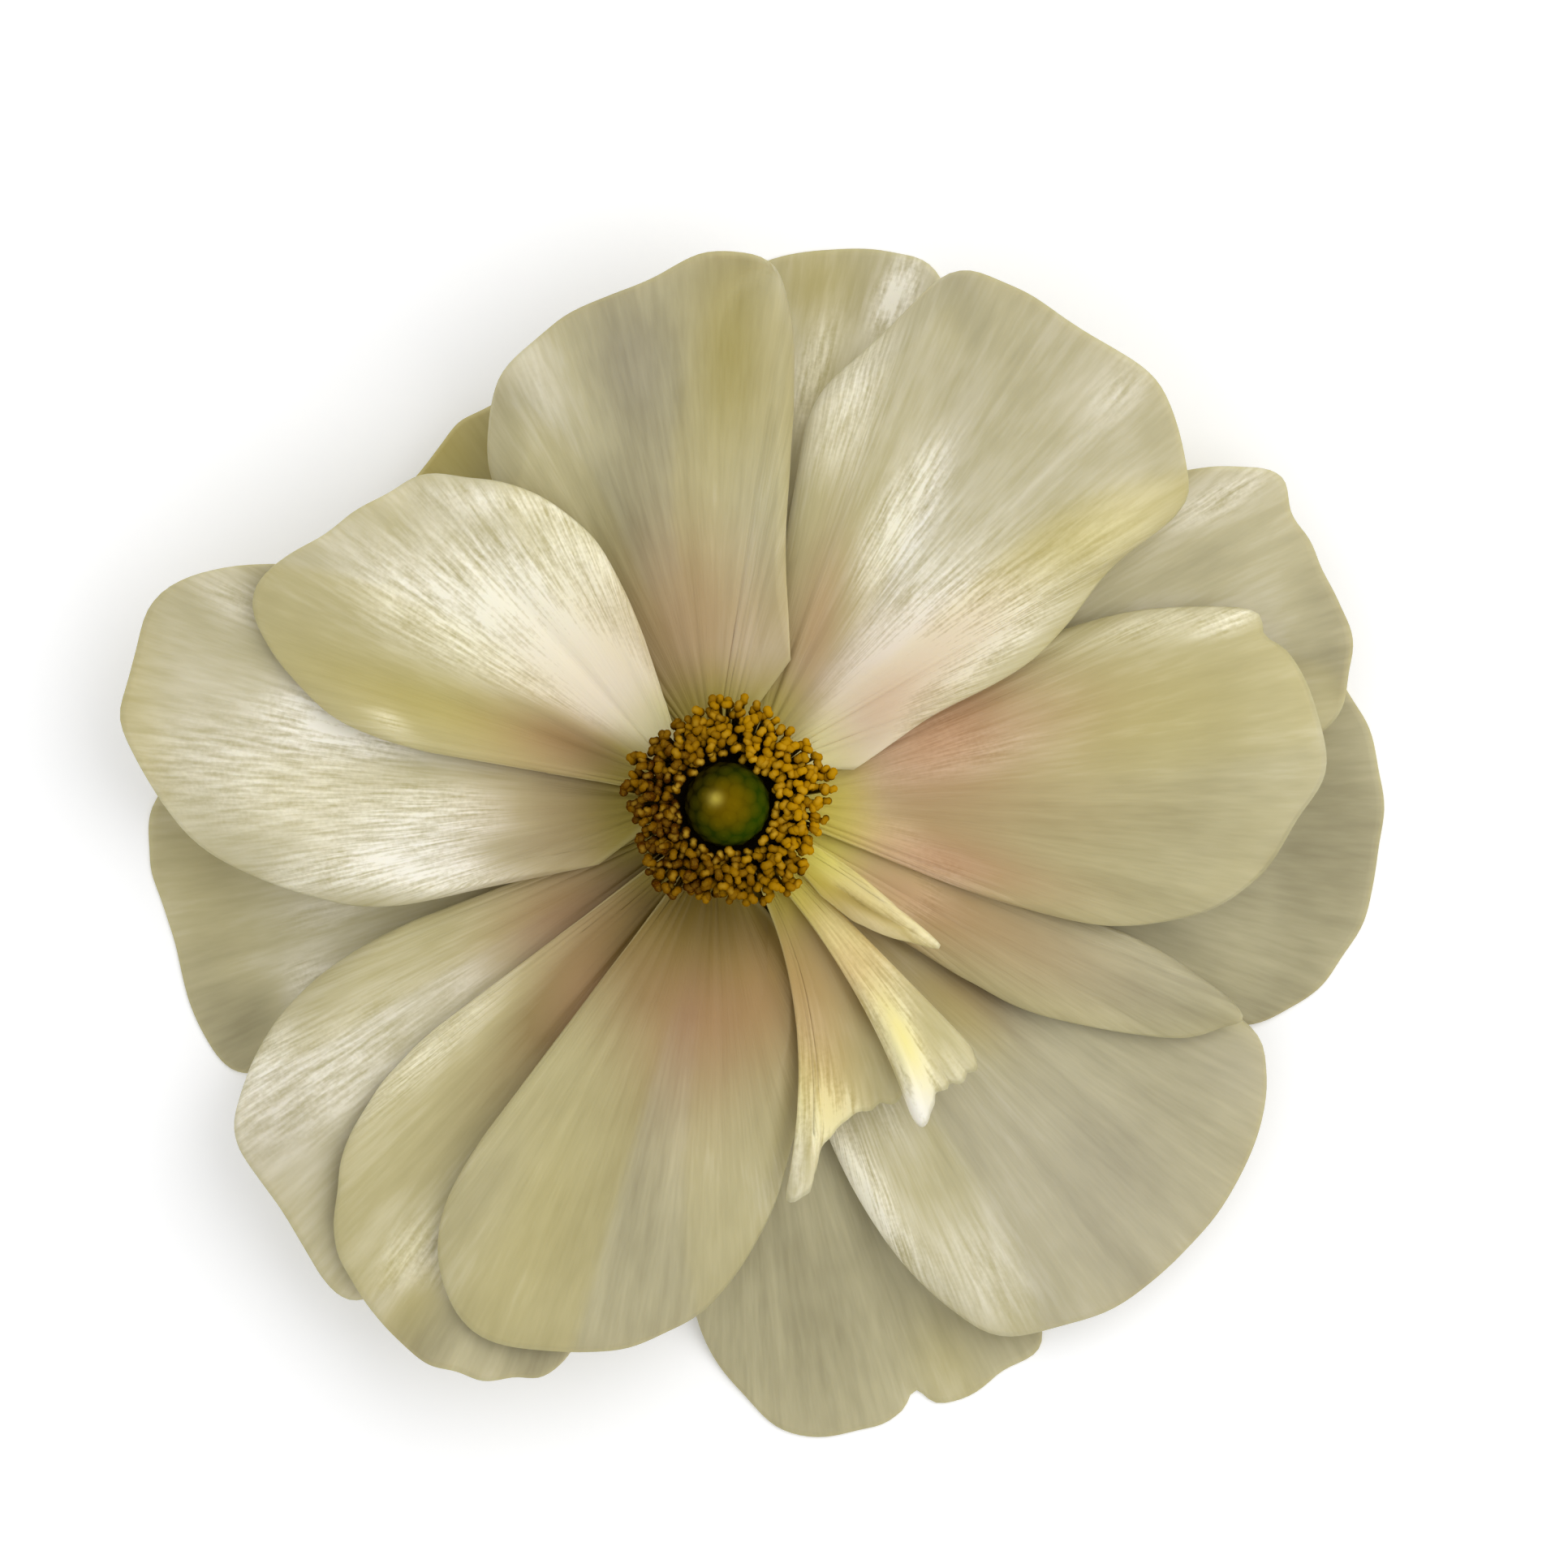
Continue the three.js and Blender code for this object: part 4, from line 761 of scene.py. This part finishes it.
# Stamens: thin yellow filaments from a collar round the carpels, each with a golden-brown anther of two
# pollen sacs. They crowd in a close spiral of five blunt lobes, upright inside and leaning outwards at the
# edge. Each anther has a painted highlight at its tip and painted shade on its lower part, and the anthers
# are painted lighter on the side of the ring toward the lamp and darker on the far side. The inner
# filaments are painted dark low down, as shade deep in the ring.
STAMENS = 430
GOLDEN_TURN = math.pi * (3 - math.sqrt(5))
INNER_REACH = 3.05
OUTER_REACH = 6.4
LOBE_RISE = 0.45
LOBE_TURN = math.radians(15)
LIT_SIDE_TURN = math.radians(20)
HIGHEST = 15.1
HIGHEST_SHARE = 0.35
TIP_DROP = 1.3
FOOT_HEIGHT = 12.3
FOOT_DROP = 7.4
FOOT_RADIUS = 3.45
FOOT_SPREAD = 0.75
ANTHER_LENGTHS = (0.75, 1.05)
ANTHER_WIDTHS = (0.62, 0.82)
ANTHER_SIDES = 12
ANTHER_RINGS = 7
FURROW_DEPTH = 0.26
FURROW_WIDTH = 0.28
FILAMENT_RADIUS = 0.15
FILAMENT_TAPER = 0.05
FILAMENT_BOW = 0.3
FILAMENT_SIDES = 8
FILAMENT_RINGS = 6
COLLAR_SIDES = 64


def along_axis(rings, tip, foot):
    """Rings of points about +Z, turned and moved so that they run from foot to tip."""
    direction = np.array(tip) - np.array(foot)
    length = np.linalg.norm(direction)
    ahead = direction / length
    side = np.cross([0, 0, 1.0], ahead)
    side = side / np.linalg.norm(side) if np.linalg.norm(side) > 1e-6 else np.array([1.0, 0, 0])
    other = np.cross(ahead, side)
    return rings @ np.stack([side, other, ahead]) + foot


def closed_rings(ring_count, sides):
    """Faces of a body of rings with a point at each end, the points standing last."""
    end = ring_count * sides
    faces = []
    for side in range(sides):
        beside = (side + 1) % sides
        faces.append((end, beside, side))
        faces.append((end + 1, end - sides + side, end - sides + beside))
        for ring in range(ring_count - 1):
            low = ring * sides
            faces.append((low + side, low + beside, low + sides + beside, low + sides + side))
    return faces


def moved(faces, start):
    """Faces whose points stand further down the list of points."""
    return [tuple(start + corner for corner in face) for face in faces]


draw = np.random.default_rng(5)
around = np.linspace(0, 2 * math.pi, ANTHER_SIDES, endpoint=False)
furrow = 1 - FURROW_DEPTH * np.exp(-(np.sin(around) / FURROW_WIDTH) ** 2)
levels = np.linspace(-1, 1, ANTHER_RINGS + 2)[1:-1]
filament_around = np.linspace(0, 2 * math.pi, FILAMENT_SIDES, endpoint=False)
filament_ring = np.stack([np.cos(filament_around), np.sin(filament_around), 0 * filament_around], 1)
filament_radii = FILAMENT_RADIUS - FILAMENT_TAPER * np.arange(FILAMENT_RINGS) / (FILAMENT_RINGS - 1)
anther_points, anther_faces, anther_marks = [], [], []
filament_points, filament_faces, filament_marks = [], [], []
for count in range(STAMENS):
    share = (count + 0.5) / STAMENS
    turn = count * GOLDEN_TURN + draw.normal(0, 0.04)
    lobed = OUTER_REACH + LOBE_RISE * math.cos(5 * (turn - LOBE_TURN))
    radius = math.sqrt(INNER_REACH ** 2 + share * (lobed ** 2 - INNER_REACH ** 2)) + draw.uniform(-0.15, 0.15)
    outward = np.array([math.cos(turn), math.sin(turn), 0])
    height = HIGHEST + draw.uniform(-0.5, 0.5) - TIP_DROP * abs(share - HIGHEST_SHARE)
    tip = outward * radius + [0, 0, height]
    foot_height = FOOT_HEIGHT - FOOT_DROP * max(0, share - 0.5)
    foot = outward * (FOOT_RADIUS + FOOT_SPREAD * share) + [0, 0, foot_height]
    lean = (tip - foot) / np.linalg.norm(tip - foot)
    lean = 0.4 * lean + [0, 0, 0.6] + draw.normal(0, 0.2, 3)
    lean /= np.linalg.norm(lean)
    length, width = draw.uniform(*ANTHER_LENGTHS), draw.uniform(*ANTHER_WIDTHS)
    body = []
    for level in levels:
        fat = (1 - abs(level) ** 2.6) ** 0.5
        body.append(np.stack([fat * furrow * np.cos(around) * width * 0.42,
                              fat * furrow * np.sin(around) * width * 0.52,
                              np.full(ANTHER_SIDES, level * length / 2)], 1))
    rings = np.concatenate([*body, [[0, 0, -length / 2], [0, 0, length / 2]]])
    anther_faces += moved(closed_rings(ANTHER_RINGS, ANTHER_SIDES), len(anther_points) * len(rings))
    anther_points.append(along_axis(rings, tip + lean, tip))
    # Painted light: higher on the side of the ring toward the lamp and lower on the far side, with some
    # random tone.
    lit_side_and_random_tone = 0.48 + 0.46 * math.cos(turn - LIT_SIDE_TURN) + draw.uniform(-0.24, 0.24)
    # Painted highlight on the tips: strongest on the innermost anthers and on some others at random.
    tip_highlight = max(0, 1 - share / 0.16) + 0.35 * (draw.uniform() > 0.75)
    anther_marks.append(np.stack([np.full(len(rings), tip_highlight), rings[:, 2] / length + 0.5,
                                  np.full(len(rings), lit_side_and_random_tone)], 1))
    stem = [foot + (tip - foot) * step + outward * FILAMENT_BOW * math.sin(math.pi * step)
            for step in np.linspace(0, 1, FILAMENT_RINGS)]
    loops = [filament_ring * thick + centre for thick, centre in zip(filament_radii, stem)]
    rings = np.concatenate([*loops, [stem[0]], [stem[-1]]])
    filament_faces += moved(closed_rings(FILAMENT_RINGS, FILAMENT_SIDES), len(filament_points) * len(rings))
    filament_points.append(rings)
    # How much painted shade the filament takes low down: full on the inner half, none on the outermost.
    filament_marks.append(np.full((len(rings), 3), min(1, 2 * (1 - share))))

anther_paint = Paint("golden_anther")
tip_highlight, height_share, lit_side_and_random_tone = anther_paint.parts(anther_paint.attribute("mark"))
pollen = anther_paint.noise(anther_paint.place(), 9000.0, 1.0)
# Painted light: golden on the lamp's side of the ring, dark brown on the far side.
gold = anther_paint.mixed(lit_side_and_random_tone, colour(74, 38, 0), colour(180, 130, 0))
# Painted shade on the lower part of each anther, among its neighbours.
gold = anther_paint.mixed(height_share.rising(0.8, 0.3), gold, colour(56, 30, 0))
# Painted highlight on the tip of each anther.
gold = anther_paint.mixed(height_share.rising(0.82, 1.0) * (0.12 + 0.6 * tip_highlight), gold, colour(214, 172, 56))
gold = anther_paint.mixed(pollen.rising(0.52, 0.72) * 0.2, gold, colour(190, 140, 4))
anther_material = anther_paint.surface(
    Base_Color=gold,
    Roughness=0.5 + 0.3 * pollen,
    Normal=anther_paint.bumped(pollen, 0.00004),
    Specular_IOR_Level=0.0)
piece_of("anthers", np.concatenate(anther_points), anther_faces, anther_material, "anther", "stamens",
         mark=np.concatenate(anther_marks))

filament_paint = Paint("yellow_filament")
filament_up = filament_paint.parts(filament_paint.place())[2]
deep_shade = filament_paint.parts(filament_paint.attribute("mark"))[0]
filament_fibre = filament_paint.noise(filament_paint.place(), 2600.0)
filament_green = filament_paint.mixed(filament_fibre, colour(96, 70, 4), colour(150, 122, 16))
filament_material = filament_paint.surface(
    # Painted shade: the collar and inner filaments dark below about 13 to 14 mm, deep in the ring.
    Base_Color=filament_paint.mixed(filament_up.rising(0.0142, 0.0126) * deep_shade, filament_green,
                                    colour(40, 26, 2)),
    Roughness=0.45 + 0.1 * filament_fibre,
    Normal=filament_paint.bumped(filament_fibre, 0.00003),
    Specular_IOR_Level=0.1)
collar_outline = [(0, 11.9), (3.3, 11.9), (4.5, 11.9), (4.55, 12.2), (4.3, 12.6), (3.6, 12.75), (3.25, 12.5),
                  (0, 12.4)]
collar_points, collar_faces = turned(collar_outline, COLLAR_SIDES)
piece_of("filaments", np.concatenate([collar_points, *filament_points]),
         collar_faces + moved(filament_faces, len(collar_points)), filament_material, "anther",
         mark=np.concatenate([np.ones((len(collar_points), 3)), *filament_marks]))


# Carpels: a green dome of many tiny one-seeded fruits in a spiral, each with a short beak.
# The dome is painted lighter and greener on one side, as though lit, and dark brown on the other as painted
# shade, with painted shade round its foot; a pale crown stands a little off its top.
CARPELS = 64
DOME_RADIUS = 2.75
DOME_FOOT = 13.5
DOME_HEIGHT = 3.3
DOME_BULGE = 0.12
DOME_DRAWN_IN = 1.06
DOME_BASE = (2.3, 12.6)
DOME_RINGS = 60
DOME_SIDES = 150
CARPEL_REACH = 0.17
CARPEL_RISE = 0.06
BETWEEN_CARPELS = 0.03
BEAK_REACH = 0.035
BEAK_RISE = 0.07
CROWN_PLACE = (-0.75, 0.35)
CROWN_REACH = 0.4
CROWN_RISE = 0.1

dome_outline = [(0, DOME_BASE[1]), DOME_BASE]
for rise in np.linspace(0, 1.55, DOME_RINGS):
    dome_outline.append((DOME_RADIUS * math.cos(rise) * (1 + DOME_BULGE * math.sin(2 * rise)) / DOME_DRAWN_IN,
                         DOME_FOOT + DOME_HEIGHT * math.sin(rise)))
dome_outline.append((0, DOME_FOOT + DOME_HEIGHT))
dome_points, dome_faces = turned(dome_outline, DOME_SIDES)
dome_centre = np.array([0, 0, DOME_FOOT])
count = np.arange(CARPELS)
tip_height = 1 - (count + 0.5) / CARPELS
tip_spread = np.sqrt(1 - tip_height ** 2)
tips = np.stack([tip_spread * np.cos(count * GOLDEN_TURN), tip_spread * np.sin(count * GOLDEN_TURN),
                 tip_height], 1)
direction = dome_points - dome_centre
direction /= np.linalg.norm(direction, axis=1, keepdims=True)
nearest = (direction @ tips.T).max(1)
away = np.sqrt(np.maximum(2 - 2 * nearest, 0))
swell = np.sqrt(np.clip(1 - (away / CARPEL_REACH) ** 2, 0, 1))
beak = np.exp(-(away / BEAK_REACH) ** 2)
crown = np.exp(-(np.hypot(*(dome_points[:, :2] - CROWN_PLACE).T) / CROWN_REACH) ** 2)
above = dome_points[:, 2] >= DOME_FOOT
raised = CARPEL_RISE * swell + BEAK_RISE * beak - BETWEEN_CARPELS + CROWN_RISE * crown
dome_points += direction * (above * raised)[:, None]

carpel_paint = Paint("green_carpel")
bulge, crown_mark, dome_lit_side = carpel_paint.parts(carpel_paint.attribute("mark"))
carpel_up = carpel_paint.parts(carpel_paint.place())[2]
# Painted light: one side of the dome lighter and greener, as though lit, the other dark brown as painted
# shade.
green = carpel_paint.mixed(dome_lit_side, colour(28, 16, 0), colour(42, 66, 0))
green = carpel_paint.mixed(carpel_up.rising(0.0158, 0.0171), green, colour(108, 84, 0))
# Painted shade round the foot of the dome, reaching higher on its shaded side.
green = carpel_paint.mixed((carpel_up + dome_lit_side * 0.0008).rising(0.0163, 0.0146), green, colour(24, 16, 0))
green = carpel_paint.mixed(bulge * 0.1, green, colour(130, 118, 10))
green = carpel_paint.mixed(crown_mark * 0.8, green, colour(190, 172, 70))
carpel_material = carpel_paint.surface(
    Base_Color=green,
    Roughness=0.4 + 0.2 * carpel_paint.noise(carpel_paint.place(), 3000.0),
    Specular_IOR_Level=0.0)
piece_of("carpels", dome_points, dome_faces, carpel_material, "carpel", "carpel_head",
         mark=np.stack([swell, crown, 0.5 + 0.45 * direction[:, 0] - 0.25 * direction[:, 1]], 1))
